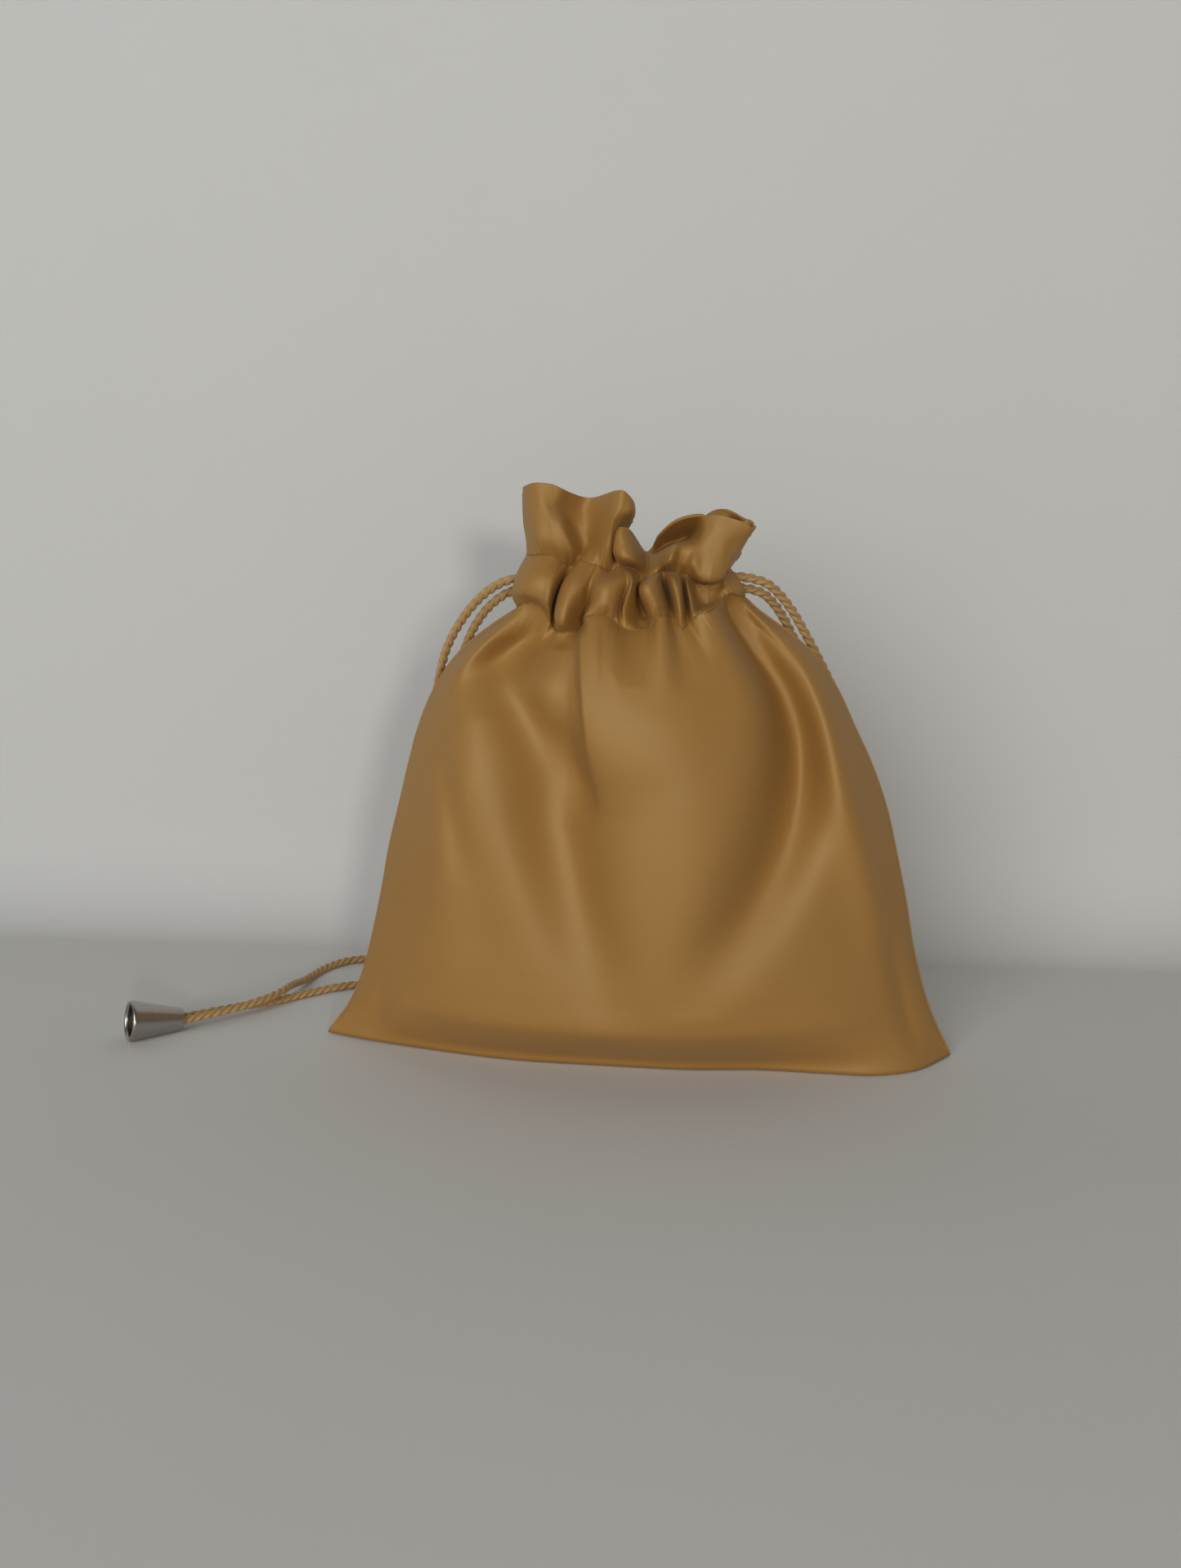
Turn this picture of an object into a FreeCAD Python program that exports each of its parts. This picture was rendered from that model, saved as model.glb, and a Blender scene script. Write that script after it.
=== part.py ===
"""A stuffed satin gift sack drawn shut by two twisted-cord drawstrings.

The sack stands on its base, front towards -Y, with its origin at the middle of
the base.  Front and back panels are half shells with lens-shaped sections, and
the gathered mouth above them has a cord casing, an inner facing and a frill on
each half.  Each drawstring leaves the casing at one side as two tails, which
run down behind the sack to a knot held in a metal bell-shaped cord end.
"""
import FreeCAD, Part
import math
import os

import Sketcher

Vector = FreeCAD.Vector

FRONT, BACK = -1, 1
LEFT, RIGHT = -1, 1

SIZES = {
    "cloth_wall": 1.0,
    "seam_tip": 2.4,
    "foot_height": 1.0,
    "foot_half_width": 124.5,
    "foot_depth": 26.0,
    "hip_height": 24.0,
    "hip_half_width": 110.0,
    "hip_depth": 37.0,
    "belly_height": 62.0,
    "belly_half_width": 102.0,
    "belly_depth": 45.0,
    "waist_height": 100.0,
    "waist_half_width": 94.0,
    "waist_depth": 46.0,
    "chest_height": 132.0,
    "chest_half_width": 82.5,
    "chest_depth": 42.0,
    "shoulder_height": 156.0,
    "shoulder_half_width": 67.0,
    "shoulder_depth": 34.0,
    "collar_height": 173.0,
    "collar_half_width": 44.0,
    "collar_depth": 27.0,
    "casing_height": 20.0,
    "casing_half_width": 43.0,
    "cut_clearance": 1.0,
    "casing_depth": 26.0,
    "casing_wall": 0.8,
    "casing_tip": 1.0,
    "channel_width": 4.6,
    "facing_half_width": 32.0,
    "side_slit": 9.6,
    "frill_height": 28.0,
    "frill_middle_half_width": 41.0,
    "frill_middle_depth": 24.0,
    "frill_top_half_width": 46.0,
    "frill_top_depth": 28.0,
    "frill_wall": 1.6,
    "mouth_gap": 0.3,
    "thread_width": 0.6,
    "stitch_inset": 1.2,
    "seam_allowance": 8.0,
    "seam_thickness": 1.2,
    "seam_clearance": 1.2,
    "cord_diameter": 3.6,
    "low_channel_height": 178.5,
    "high_channel_height": 187.5,
    "bell_length": 20.4,
    "bell_narrow_radius": 4.6,
    "bell_wide_radius": 8.3,
    "bell_bore_radius": 4.0,
    "bell_lip_radius": 0.95,
    "bell_lip_overlap": 0.2,
    "knot_half_length": 4.8,
    "knot_overlap": 1.0,
    "knot_half_width": 4.3,
    "knot_half_height": 4.0,
    "knot_distance": 12.0,
    "strand_spacing": 3.7,
    "straight_entry": 20.0,
}

STATIONS = ["foot", "hip", "belly", "waist", "chest", "shoulder", "collar"]

# Share by which a swept tail may differ from its worked-out volume.
VOLUME_TOLERANCE = 0.01

# Where the small end of each bell meets its cords, and the way its mouth faces.
BELL_PLACES = {"left": ((-189.0, -1.5), 218.0), "right": ((14.0, 83.0), 178.0)}

# The tails, point by point from inside the casing.  The last two points of each
# lie on the straight entry into the bell and are worked out from the bell.
TAIL_ROUTES = {
    "left_outer_tail": [
        (-33.0, -2.0, 187.4),
        (-46.0, -2.0, 187.4),
        (-58.5, 4.0, 181.5),
        (-69.0, 10.0, 171.0),
        (-77.5, 15.0, 157.5),
        (-83.0, 22.0, 139.0),
        (-88.0, 31.0, 114.0),
        (-93.0, 37.0, 84.0),
        (-97.5, 44.0, 55.0),
        (-102.0, 54.0, 31.0),
        (-108.5, 66.0, 13.0),
        (-118.0, 79.0, 3.6),
        (-131.0, 88.0, 1.9),
        (-144.5, 83.5, 1.9),
        (-152.5, 70.0, 1.9),
        (-155.0, 54.0, 2.2),
        (-156.0, 39.0, 5.9),
        (-157.5, 25.0, 6.3),
    ],
    "left_inner_tail": [
        (-33.0, 2.0, 183.4),
        (-45.0, 2.0, 183.4),
        (-56.5, 8.0, 177.5),
        (-66.0, 14.5, 166.5),
        (-72.5, 20.0, 152.0),
        (-78.0, 26.0, 132.0),
        (-83.0, 32.5, 105.0),
        (-88.0, 36.5, 76.0),
        (-94.0, 41.0, 48.0),
        (-100.0, 46.5, 25.0),
        (-108.5, 52.5, 8.5),
        (-121.0, 55.0, 1.9),
        (-136.0, 49.5, 1.9),
        (-149.0, 39.0, 1.9),
        (-160.5, 27.5, 1.9),
    ],
    "right_outer_tail": [
        (33.0, -2.0, 187.4),
        (46.0, -2.0, 187.4),
        (56.0, 5.0, 178.5),
        (64.0, 11.0, 166.0),
        (72.0, 15.0, 152.0),
        (80.0, 18.0, 136.0),
        (86.0, 24.0, 116.0),
        (88.0, 33.0, 91.0),
        (88.5, 42.0, 62.0),
        (90.0, 55.0, 34.0),
        (94.0, 73.0, 11.0),
        (93.0, 93.0, 1.9),
        (78.0, 104.0, 1.9),
        (59.0, 98.0, 1.9),
    ],
    "right_inner_tail": [
        (33.0, 2.0, 183.4),
        (45.0, 2.0, 183.4),
        (53.5, 10.0, 175.5),
        (60.5, 17.0, 163.0),
        (68.0, 21.0, 148.5),
        (75.5, 24.5, 132.0),
        (81.0, 31.0, 111.0),
        (83.0, 39.0, 86.0),
        (83.5, 47.0, 58.0),
        (84.0, 59.0, 31.0),
        (83.0, 73.0, 10.0),
        (75.0, 86.0, 1.9),
        (60.0, 89.0, 1.9),
    ],
}

RUN_SHARE = 0.45


def make_sheet(doc):
    """The driving dimensions, one aliased cell each."""
    sheet = doc.addObject("Spreadsheet::Sheet", "Sizes")
    for row, (alias, value) in enumerate(SIZES.items(), start=1):
        sheet.set(f"A{row}", alias)
        sheet.set(f"B{row}", str(value))
        sheet.setAlias(f"B{row}", alias)
    doc.recompute()
    return sheet


def plane_sketch(body, name, height=None):
    """A sketch on the body's own XY plane, lifted by an expression."""
    plane = next(p for p in body.Origin.OriginFeatures if p.Role == "XY_Plane")
    sketch = body.newObject("Sketcher::SketchObject", name)
    sketch.AttachmentSupport = (plane, "")
    sketch.MapMode = "FlatFace"
    if height:
        sketch.setExpression("AttachmentOffset.Base.z", height)
    return sketch


def dimension(sheet, alias, *less):
    """A pair (value, expression): one cell, less the other cells named."""
    value = sheet.get(alias) - sum(sheet.get(name) for name in less)
    expression = " - ".join(f"Sizes.{name}" for name in (alias, *less))
    return value, expression


def add_bound(sketch, kind, references, bound):
    """A dimension of the sketch whose value comes from the sheet."""
    value, expression = bound
    index = sketch.addConstraint(Sketcher.Constraint(kind, *references, value))
    sketch.setExpression(f"Constraints[{index}]", expression)


def add_chord_arc(sketch, half_width, depth, side):
    """An arc over the chord from (-half_width, 0) to (half_width, 0).

    Its radius is (half_width squared + depth squared) / (2 depth).
    """
    (width, width_text), (rise, rise_text) = half_width, depth
    ends = [Vector(-width, 0, 0), Vector(width, 0, 0)]
    arc = sketch.addGeometry(Part.Arc(ends[0], Vector(0, side * rise, 0), ends[1]))
    left, right = (1, 2) if sketch.getPoint(arc, 1).x < 0 else (2, 1)
    for point in (left, right):
        sketch.addConstraint(Sketcher.Constraint("PointOnObject", arc, point, -1))
    add_bound(sketch, "DistanceX", (arc, left, -1, 1), half_width)
    add_bound(sketch, "DistanceX", (-1, 1, arc, right), half_width)
    radius = (width ** 2 + rise ** 2) / (2 * rise)
    formula = f"(({width_text})^2 + ({rise_text})^2) / (2 * ({rise_text}))"
    add_bound(sketch, "Radius", (arc,), (radius, formula))
    return (arc, left), (arc, right)


def add_link(sketch, first, second):
    """A straight edge that joins two arc ends."""
    line = Part.LineSegment(sketch.getPoint(*first), sketch.getPoint(*second))
    index = sketch.addGeometry(line)
    sketch.addConstraint(Sketcher.Constraint("Coincident", index, 1, *first))
    sketch.addConstraint(Sketcher.Constraint("Coincident", index, 2, *second))


def crescent(body, sheet, name, height, outline, side):
    """A crescent section: two arcs one wall apart, closed along y = 0.

    outline names the cells of the half width, depth, wall and tip.
    """
    half_width, depth, wall, tip = outline
    sketch = plane_sketch(body, name, height)
    outer = add_chord_arc(sketch, dimension(sheet, half_width), dimension(sheet, depth), side)
    inner = add_chord_arc(
        sketch, dimension(sheet, half_width, tip), dimension(sheet, depth, wall), side)
    for outer_end, inner_end in zip(outer, inner):
        add_link(sketch, outer_end, inner_end)
    return sketch


def side_word(side):
    """The word for a front or back piece."""
    return "front" if side == FRONT else "back"


def new_body(doc, label):
    """An empty body with its label."""
    body = doc.addObject("PartDesign::Body", label)
    body.Label = label
    return body


def add_loft(body, sections):
    """A smooth loft through the sections."""
    loft = body.newObject("PartDesign::AdditiveLoft", f"{body.Name}_loft")
    loft.Profile = sections[0]
    loft.Sections = sections[1:]


def add_pad(body, profile, length):
    """The profile raised by an expression."""
    pad = body.newObject("PartDesign::Pad", f"{body.Name}_{profile.Name}_pad")
    pad.Profile = profile
    pad.setExpression("Length", length)


def make_panel(doc, sheet, side):
    """One panel: half of the base, then a half shell lofted up to the collar."""
    body = new_body(doc, f"{side_word(side)}_panel")
    base = plane_sketch(body, f"{body.Name}_base")
    ends = add_chord_arc(
        base, dimension(sheet, "foot_half_width"), dimension(sheet, "foot_depth"), side)
    add_link(base, *ends)
    add_pad(body, base, "Sizes.foot_height")
    sections = []
    for name in STATIONS:
        outline = (f"{name}_half_width", f"{name}_depth", "cloth_wall", "seam_tip")
        height = f"Sizes.{name}_height"
        sections.append(crescent(body, sheet, f"{body.Name}_{name}", height, outline, side))
    add_loft(body, sections)
    return body


def make_band(doc, sheet, label, outline, low, tall, side):
    """A half-round upright band: one crescent raised by an expression."""
    body = new_body(doc, label)
    section = crescent(body, sheet, f"{label}_section", low, outline, side)
    add_pad(body, section, tall)
    body.setExpression("Placement.Base.y", f"{side} * Sizes.mouth_gap / 2")
    return body


def cut_side_slits(doc, band, label):
    """The band cut back from both side seams, where the cords leave."""
    bar = doc.addObject("Part::Box", f"{label}_slit")
    bar.setExpression("Length", "2 * Sizes.casing_half_width + 2 * Sizes.cut_clearance")
    bar.setExpression("Width", "Sizes.side_slit")
    bar.setExpression("Height", "Sizes.casing_height + 2 * Sizes.cut_clearance")
    bar.setExpression("Placement.Base.x", "-Sizes.casing_half_width - Sizes.cut_clearance")
    bar.setExpression("Placement.Base.y", "-Sizes.side_slit / 2")
    bar.setExpression("Placement.Base.z", "Sizes.collar_height - Sizes.cut_clearance")
    cut = doc.addObject("Part::Cut", label)
    cut.Base = band
    cut.Tool = bar
    cut.Label = label
    return cut


def make_mouth_half(doc, sheet, side):
    """Casing, facing, frill and two stitch rows of one half of the mouth."""
    word = side_word(side)
    low = "Sizes.collar_height + Sizes.mouth_gap"
    tall = "Sizes.casing_height - Sizes.mouth_gap"
    outline = ("casing_half_width", "casing_depth", "casing_wall", "casing_tip")
    casing = make_band(doc, sheet, f"{word}_casing_band", outline, low, tall, side)
    outline = ("facing_half_width", "facing_depth", "casing_wall", "casing_tip")
    facing = make_band(doc, sheet, f"{word}_facing_band", outline, low, tall, side)
    pieces = [
        cut_side_slits(doc, casing, f"{word}_casing"),
        cut_side_slits(doc, facing, f"{word}_facing"),
    ]
    frill = new_body(doc, f"{word}_frill")
    rim = "Sizes.collar_height + Sizes.casing_height"
    levels = [("casing", 0.0), ("frill_middle", 0.4), ("frill_top", 1.0)]
    sections = []
    for name, share in levels:
        outline = (f"{name}_half_width", f"{name}_depth", "frill_wall", "seam_tip")
        height = f"{rim} + {share} * Sizes.frill_height"
        sections.append(crescent(frill, sheet, f"{word}_frill_{name}", height, outline, side))
    add_loft(frill, sections)
    frill.setExpression("Placement.Base.y", f"{side} * Sizes.mouth_gap / 2")
    pieces.append(frill)
    outline = ("thread_half_width", "thread_depth", "thread_width", "thread_width")
    rows = {
        "lower": f"{low} + Sizes.stitch_inset",
        "upper": f"{rim} - Sizes.stitch_inset - Sizes.thread_width",
    }
    for row, height in rows.items():
        label = f"{word}_{row}_stitching"
        band = make_band(doc, sheet, f"{label}_band", outline, height, "Sizes.thread_width", side)
        pieces.append(cut_side_slits(doc, band, label))
    return pieces


def make_channel_cord(doc, sheet, label, level, side):
    """The stretch of drawstring inside one half of the casing: a torus arc.

    Its centre line is a chord arc midway across the channel, and it stops half
    a slit, and its own radius, short of the side seams.
    """
    cord = doc.addObject("Part::Torus", label)
    cord.Label = label
    half = "(Sizes.casing_half_width - Sizes.channel_inset)"
    rise = "(Sizes.casing_depth - Sizes.channel_inset)"
    radius = f"(({half}^2 + {rise}^2) / (2 * {rise}))"
    centre = f"({radius} - {rise})"
    stop = f"asin(({centre} + Sizes.side_slit / 2 + Sizes.cord_diameter) / {radius})"
    cord.setExpression("Radius1", radius)
    cord.setExpression("Radius2", "Sizes.cord_diameter / 2")
    cord.setExpression("Angle3", f"180 deg - 2 * {stop}")
    turn = stop if side == BACK else f"180 deg + {stop}"
    cord.setExpression("Placement.Rotation", f"rotation(vector(0; 0; 1); {turn})")
    cord.setExpression("Placement.Base.y", f"{-side} * {centre}")
    cord.setExpression("Placement.Base.z", f"Sizes.{level}_channel_height")
    return cord


def make_side_seam(doc, sheet, label, side):
    """The turned-in edges of both panels: a strip that follows one side seam."""
    tip = sheet.get("seam_tip") + sheet.get("seam_clearance")
    reach = sheet.get("seam_allowance")
    half = sheet.get("seam_thickness") / 2
    wires = []
    for name in STATIONS[1:]:
        outer = sheet.get(f"{name}_half_width") - tip
        height = sheet.get(f"{name}_height")
        corners = [(outer, -half), (outer, half), (outer - reach, half), (outer - reach, -half)]
        points = [Vector(side * x, y, height) for x, y in corners]
        wires.append(Part.makePolygon(points + points[:1]))
    seam = doc.addObject("Part::Feature", label)
    seam.Label = label
    seam.Shape = Part.makeLoft(wires, True, False)
    return seam


def make_bottom_seam(doc):
    """The turned-in edges along the base, lying open on the inside."""
    seam = doc.addObject("Part::Box", "bottom_seam")
    seam.Label = "bottom_seam"
    seam.setExpression("Length", "2 * Sizes.belly_half_width")
    seam.setExpression("Width", "Sizes.seam_allowance")
    seam.setExpression("Height", "Sizes.seam_thickness")
    seam.setExpression("Placement.Base.x", "-Sizes.belly_half_width")
    seam.setExpression("Placement.Base.y", "-Sizes.seam_allowance / 2")
    seam.setExpression("Placement.Base.z", "Sizes.foot_height")
    return seam


def bell_tilt(sheet):
    """The angle between a bell's axis and the surface that it lies on."""
    spread = sheet.get("bell_wide_radius") - sheet.get("bell_narrow_radius")
    return math.atan2(spread, sheet.get("bell_length"))


def entry_height(sheet):
    """The height of the middle of a lying bell's small end."""
    return sheet.get("bell_narrow_radius") / math.cos(bell_tilt(sheet))


def heading_of(degrees):
    """A level unit vector, counted from +X towards +Y."""
    turn = math.radians(degrees)
    return Vector(math.cos(turn), math.sin(turn), 0)


def make_bell(doc, sheet, word):
    """A cone with a rounded lip, bored for the cords and hollowed for the knot."""
    cone = doc.addObject("Part::Cone", f"{word}_bell_cone")
    cone.setExpression("Radius1", "Sizes.bell_narrow_radius")
    cone.setExpression("Radius2", "Sizes.bell_wide_radius")
    cone.setExpression("Height", "Sizes.bell_length")
    lip = doc.addObject("Part::Torus", f"{word}_bell_lip")
    lip.setExpression("Radius1", "Sizes.bell_wide_radius - Sizes.bell_lip_radius")
    lip.setExpression("Radius2", "Sizes.bell_lip_radius")
    lip.setExpression("Placement.Base.z", "Sizes.bell_length")
    solid = doc.addObject("Part::Fuse", f"{word}_bell_solid")
    solid.Base = cone
    solid.Tool = lip
    hollow = doc.addObject("Part::Cone", f"{word}_bell_hollow")
    hollow.setExpression("Radius1", "Sizes.bell_bore_radius")
    hollow.setExpression("Radius2", "Sizes.bell_wide_radius - 2 * Sizes.bell_lip_radius + Sizes.bell_lip_overlap")
    hollow.setExpression("Height", "Sizes.bell_length + 2 * Sizes.bell_lip_radius")
    bell = doc.addObject("Part::Cut", f"{word}_cord_end")
    bell.Base = solid
    bell.Tool = hollow
    bell.Label = f"{word}_cord_end"
    (east, north), degrees = BELL_PLACES[word]
    stand = FreeCAD.Rotation(Vector(0, 1, 0), 90 - math.degrees(bell_tilt(sheet)))
    turn = FreeCAD.Rotation(Vector(0, 0, 1), degrees)
    bell.Placement = FreeCAD.Placement(Vector(east, north, entry_height(sheet)), turn * stand)
    return bell


def make_knot(doc, sheet, word):
    """The knot that joins one drawstring's two ends inside its bell."""
    knot = doc.addObject("Part::Ellipsoid", f"{word}_knot")
    knot.Label = f"{word}_knot"
    knot.setExpression("Radius1", "Sizes.knot_half_height")
    knot.setExpression("Radius2", "Sizes.knot_half_length")
    knot.setExpression("Radius3", "Sizes.knot_half_width")
    (east, north), degrees = BELL_PLACES[word]
    small_end = Vector(east, north, entry_height(sheet))
    rise = sheet.get("knot_distance") * math.tan(bell_tilt(sheet))
    middle = small_end + heading_of(degrees) * sheet.get("knot_distance") + Vector(0, 0, rise)
    knot.Placement = FreeCAD.Placement(middle, FreeCAD.Rotation(Vector(0, 0, 1), degrees))
    return knot


def tail_points(sheet, label):
    """A tail's whole route: its hand-set points, then the straight entry."""
    word = label.split("_")[0]
    (east, north), degrees = BELL_PLACES[word]
    ahead = heading_of(degrees)
    aside = Vector(-ahead.y, ahead.x, 0)
    hand = 1 if "outer" in label else -1
    if word == "right":
        hand = -hand
    small_end = Vector(east, north, entry_height(sheet))
    lane = small_end + aside * (hand * sheet.get("strand_spacing") / 2)
    inside = sheet.get("knot_distance") - sheet.get("knot_half_length") + sheet.get("knot_overlap")
    before = lane - ahead * sheet.get("straight_entry")
    return [Vector(*p) for p in TAIL_ROUTES[label]] + [before, lane + ahead * inside]


def rounded_path(points):
    """Straight runs joined by tangent arcs, each as large as its runs allow."""
    edges = []
    radii = []
    start = points[0]
    for before, corner, after in zip(points, points[1:], points[2:]):
        back = before - corner
        onward = after - corner
        cut = RUN_SHARE * min(back.Length, onward.Length)
        half_turn = (math.pi - back.getAngle(onward)) / 2
        radius = cut / math.tan(half_turn)
        back.normalize()
        onward.normalize()
        bisector = back + onward
        bisector.normalize()
        sagitta = radius / math.cos(half_turn) - radius
        first = corner + back * cut
        last = corner + onward * cut
        edges.append(Part.LineSegment(start, first).toShape())
        edges.append(Part.Arc(first, corner + bisector * sagitta, last).toShape())
        radii.append(round(radius, 1))
        start = last
    edges.append(Part.LineSegment(start, points[-1]).toShape())
    return Part.Wire(edges), radii


def make_tail(doc, sheet, label):
    """A round tube along one tail's route."""
    points = tail_points(sheet, label)
    path, radii = rounded_path(points)
    radius = sheet.get("cord_diameter") / 2
    along = path.Edges[0].tangentAt(0)
    circle = Part.Wire([Part.makeCircle(radius, points[0], along)])
    tail = doc.addObject("Part::Feature", label)
    tail.Label = label
    tail.Shape = path.makePipeShell([circle], True, False)
    expected = math.pi * radius ** 2 * path.Length
    if abs(tail.Shape.Volume - expected) > VOLUME_TOLERANCE * expected:
        raise ValueError(f"{label} has volume {tail.Shape.Volume:.0f}, not {expected:.0f}")
    runs = [round((b - a).Length, 1) for a, b in zip(points, points[1:])]
    print(label, "length", round(path.Length, 1), "radii", radii, "runs", runs)
    return tail


def add_worked_out_cells(sheet):
    """Cells that follow from the driving dimensions."""
    rows = {
        "facing_depth": "=casing_depth - casing_wall - channel_width",
        "channel_inset": "=casing_wall + channel_width / 2",
        "thread_half_width": "=casing_half_width + thread_width",
        "thread_depth": "=casing_depth + thread_width",
    }
    for row, (alias, formula) in enumerate(rows.items(), start=len(SIZES) + 1):
        sheet.set(f"A{row}", alias)
        sheet.set(f"B{row}", formula)
        sheet.setAlias(f"B{row}", alias)


def check(objects):
    """Stops the build if an object of the document failed."""
    for item in objects:
        if {"Invalid", "Error"} & set(item.State):
            raise ValueError(f"{item.Label} failed: {item.State}")


def main():
    doc = FreeCAD.newDocument("gift_sack")
    sheet = make_sheet(doc)
    add_worked_out_cells(sheet)
    doc.recompute()
    pieces = []
    for side in (FRONT, BACK):
        pieces.append(make_panel(doc, sheet, side))
        pieces.extend(make_mouth_half(doc, sheet, side))
        for word, level in (("left", "low"), ("right", "high")):
            label = f"{word}_drawstring_{side_word(side)}_run"
            pieces.append(make_channel_cord(doc, sheet, label, level, side))
    pieces.append(make_side_seam(doc, sheet, "left_side_seam", LEFT))
    pieces.append(make_side_seam(doc, sheet, "right_side_seam", RIGHT))
    pieces.append(make_bottom_seam(doc))
    for word in BELL_PLACES:
        pieces.append(make_bell(doc, sheet, word))
        pieces.append(make_knot(doc, sheet, word))
    for label in TAIL_ROUTES:
        pieces.append(make_tail(doc, sheet, label))
    doc.recompute()
    check(doc.Objects)
    os.makedirs("parts", exist_ok=True)
    for piece in pieces:
        if piece.Shape.isNull() or not piece.Shape.isValid() or len(piece.Shape.Solids) != 1:
            raise ValueError(f"{piece.Label} is not one valid solid")
        piece.Shape.exportStep(f"parts/{piece.Label}.step")


main()
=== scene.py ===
"""A stuffed satin gift sack, its mouth drawn shut by two twisted cords.

Lengths are in metres unless a name says mm.  The sack's front faces -Y.
"""
import math

import bpy
import numpy as np
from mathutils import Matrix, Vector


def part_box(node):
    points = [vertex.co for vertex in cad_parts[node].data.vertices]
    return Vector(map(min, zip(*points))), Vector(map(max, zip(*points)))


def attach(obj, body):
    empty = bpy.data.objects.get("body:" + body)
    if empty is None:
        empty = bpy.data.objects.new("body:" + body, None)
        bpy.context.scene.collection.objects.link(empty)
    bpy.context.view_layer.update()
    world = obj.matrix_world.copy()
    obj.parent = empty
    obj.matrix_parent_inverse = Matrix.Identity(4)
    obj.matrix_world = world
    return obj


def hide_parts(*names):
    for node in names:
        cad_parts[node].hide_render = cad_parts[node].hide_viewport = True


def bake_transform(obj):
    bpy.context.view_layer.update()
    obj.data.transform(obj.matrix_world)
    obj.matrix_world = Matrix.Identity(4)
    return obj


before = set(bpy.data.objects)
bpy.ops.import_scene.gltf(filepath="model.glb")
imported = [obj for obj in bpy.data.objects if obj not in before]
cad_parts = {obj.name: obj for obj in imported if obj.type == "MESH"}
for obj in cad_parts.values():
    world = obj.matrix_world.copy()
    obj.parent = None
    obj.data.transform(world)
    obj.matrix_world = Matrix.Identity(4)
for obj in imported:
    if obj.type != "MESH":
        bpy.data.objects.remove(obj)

MM = 0.001
FRONT, BACK = "front", "back"
OUTWARD = {FRONT: -1.0, BACK: 1.0}
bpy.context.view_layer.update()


# ---------------------------------------------------------------- curves

def hermite(start, end, start_slope, end_slope, t):
    """The cubic p(1+2t)(1-t)^2 + m t(1-t)^2 + q t^2(3-2t) + n t^2(t-1).

    p and q are its ends, m and n the slopes there, and t runs from 0 to 1.
    """
    return (start * (1 + 2 * t) * (1 - t) ** 2 + start_slope * t * (1 - t) ** 2
            + end * t * t * (3 - 2 * t) + end_slope * t * t * (t - 1))


def through(keys, values, at):
    """A smooth line through given values: cubic Hermite pieces.

    Each inner slope is the mean of the slopes beside it, weighted by the other
    side's length; the end slopes are those of the end pieces.
    """
    keys = np.asarray(keys, float)
    values = np.asarray(values, float)
    gaps = np.diff(keys)
    steep = np.diff(values) / gaps
    slopes = np.concatenate([steep[:1], steep[:-1], steep[-1:]])
    slopes[1:-1] = (steep[:-1] * gaps[1:] + steep[1:] * gaps[:-1]) / (gaps[1:] + gaps[:-1])
    at = np.clip(at, keys[0], keys[-1])
    cell = np.clip(np.searchsorted(keys, at) - 1, 0, len(gaps) - 1)
    t = (at - keys[cell]) / gaps[cell]
    return hermite(values[cell], values[cell + 1],
                   slopes[cell] * gaps[cell], slopes[cell + 1] * gaps[cell], t)


def smooth_step(low, high, at):
    """0 below low, 1 above high, and a cubic ramp between them."""
    t = np.clip((at - low) / (high - low), 0, 1)
    return t * t * (3 - 2 * t)


def bell_curve(at, centre, width):
    """exp(-(distance / width) squared)."""
    return np.exp(-((at - centre) / width) ** 2)


def unit(vectors):
    """Vectors scaled to length 1."""
    return vectors / np.linalg.norm(vectors, axis=-1, keepdims=True)


# ---------------------------------------------------------------- meshes

def grid_piece(name, points, uv, material, wrap_u=False, wrap_v=False):
    """A mesh over a grid of points, shape (rows, columns, 3), in metres.

    uv has the shape (rows, columns, 2).  Wrapped directions join up.
    """
    rows, columns = points.shape[:2]
    r = np.arange(rows if wrap_v else rows - 1)
    c = np.arange(columns if wrap_u else columns - 1)
    rr, cc = np.meshgrid(r, c, indexing="ij")
    r2 = (rr + 1) % rows
    c2 = (cc + 1) % columns
    quads = np.stack([rr * columns + cc, rr * columns + c2,
                      r2 * columns + c2, r2 * columns + cc], axis=-1).reshape(-1, 4)
    mesh = bpy.data.meshes.new(name)
    mesh.from_pydata(points.reshape(-1, 3), [], quads)
    layer = mesh.uv_layers.new(name="weave")
    layer.data.foreach_set("uv", uv.reshape(-1, 2)[quads.ravel()].astype(np.float32).ravel())
    mesh.shade_smooth()
    mesh.materials.append(material)
    mesh.update()
    piece = bpy.data.objects.new(name, mesh)
    bpy.context.scene.collection.objects.link(piece)
    return piece


def give_thickness(piece, thickness):
    """A second face behind the first, so that cloth has two sides."""
    solid = piece.modifiers.new("cloth thickness", "SOLIDIFY")
    solid.thickness = thickness
    solid.offset = -1.0
    solid.use_even_offset = False


# ---------------------------------------------------------------- materials

def new_material(name):
    """An empty node material and its Principled shader."""
    material = bpy.data.materials.new(name)
    material.use_nodes = True
    nodes = material.node_tree.nodes
    return material, nodes, material.node_tree.links, nodes["Principled BSDF"]


def new_group(name, inputs, outputs):
    """An empty shader node group with named sockets."""
    group = bpy.data.node_groups.new(name, "ShaderNodeTree")
    for label, kind, value in inputs:
        socket = group.interface.new_socket(label, in_out="INPUT", socket_type=kind)
        if value is not None:
            socket.default_value = value
    for label, kind in outputs:
        group.interface.new_socket(label, in_out="OUTPUT", socket_type=kind)
    return group, group.nodes.new("NodeGroupInput"), group.nodes.new("NodeGroupOutput")


def math_node(nodes, operation, *values):
    """A Math node with its plain values filled in."""
    node = nodes.new("ShaderNodeMath")
    node.operation = operation
    for index, value in enumerate(values):
        if value is not None:
            node.inputs[index].default_value = value
    return node


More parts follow.
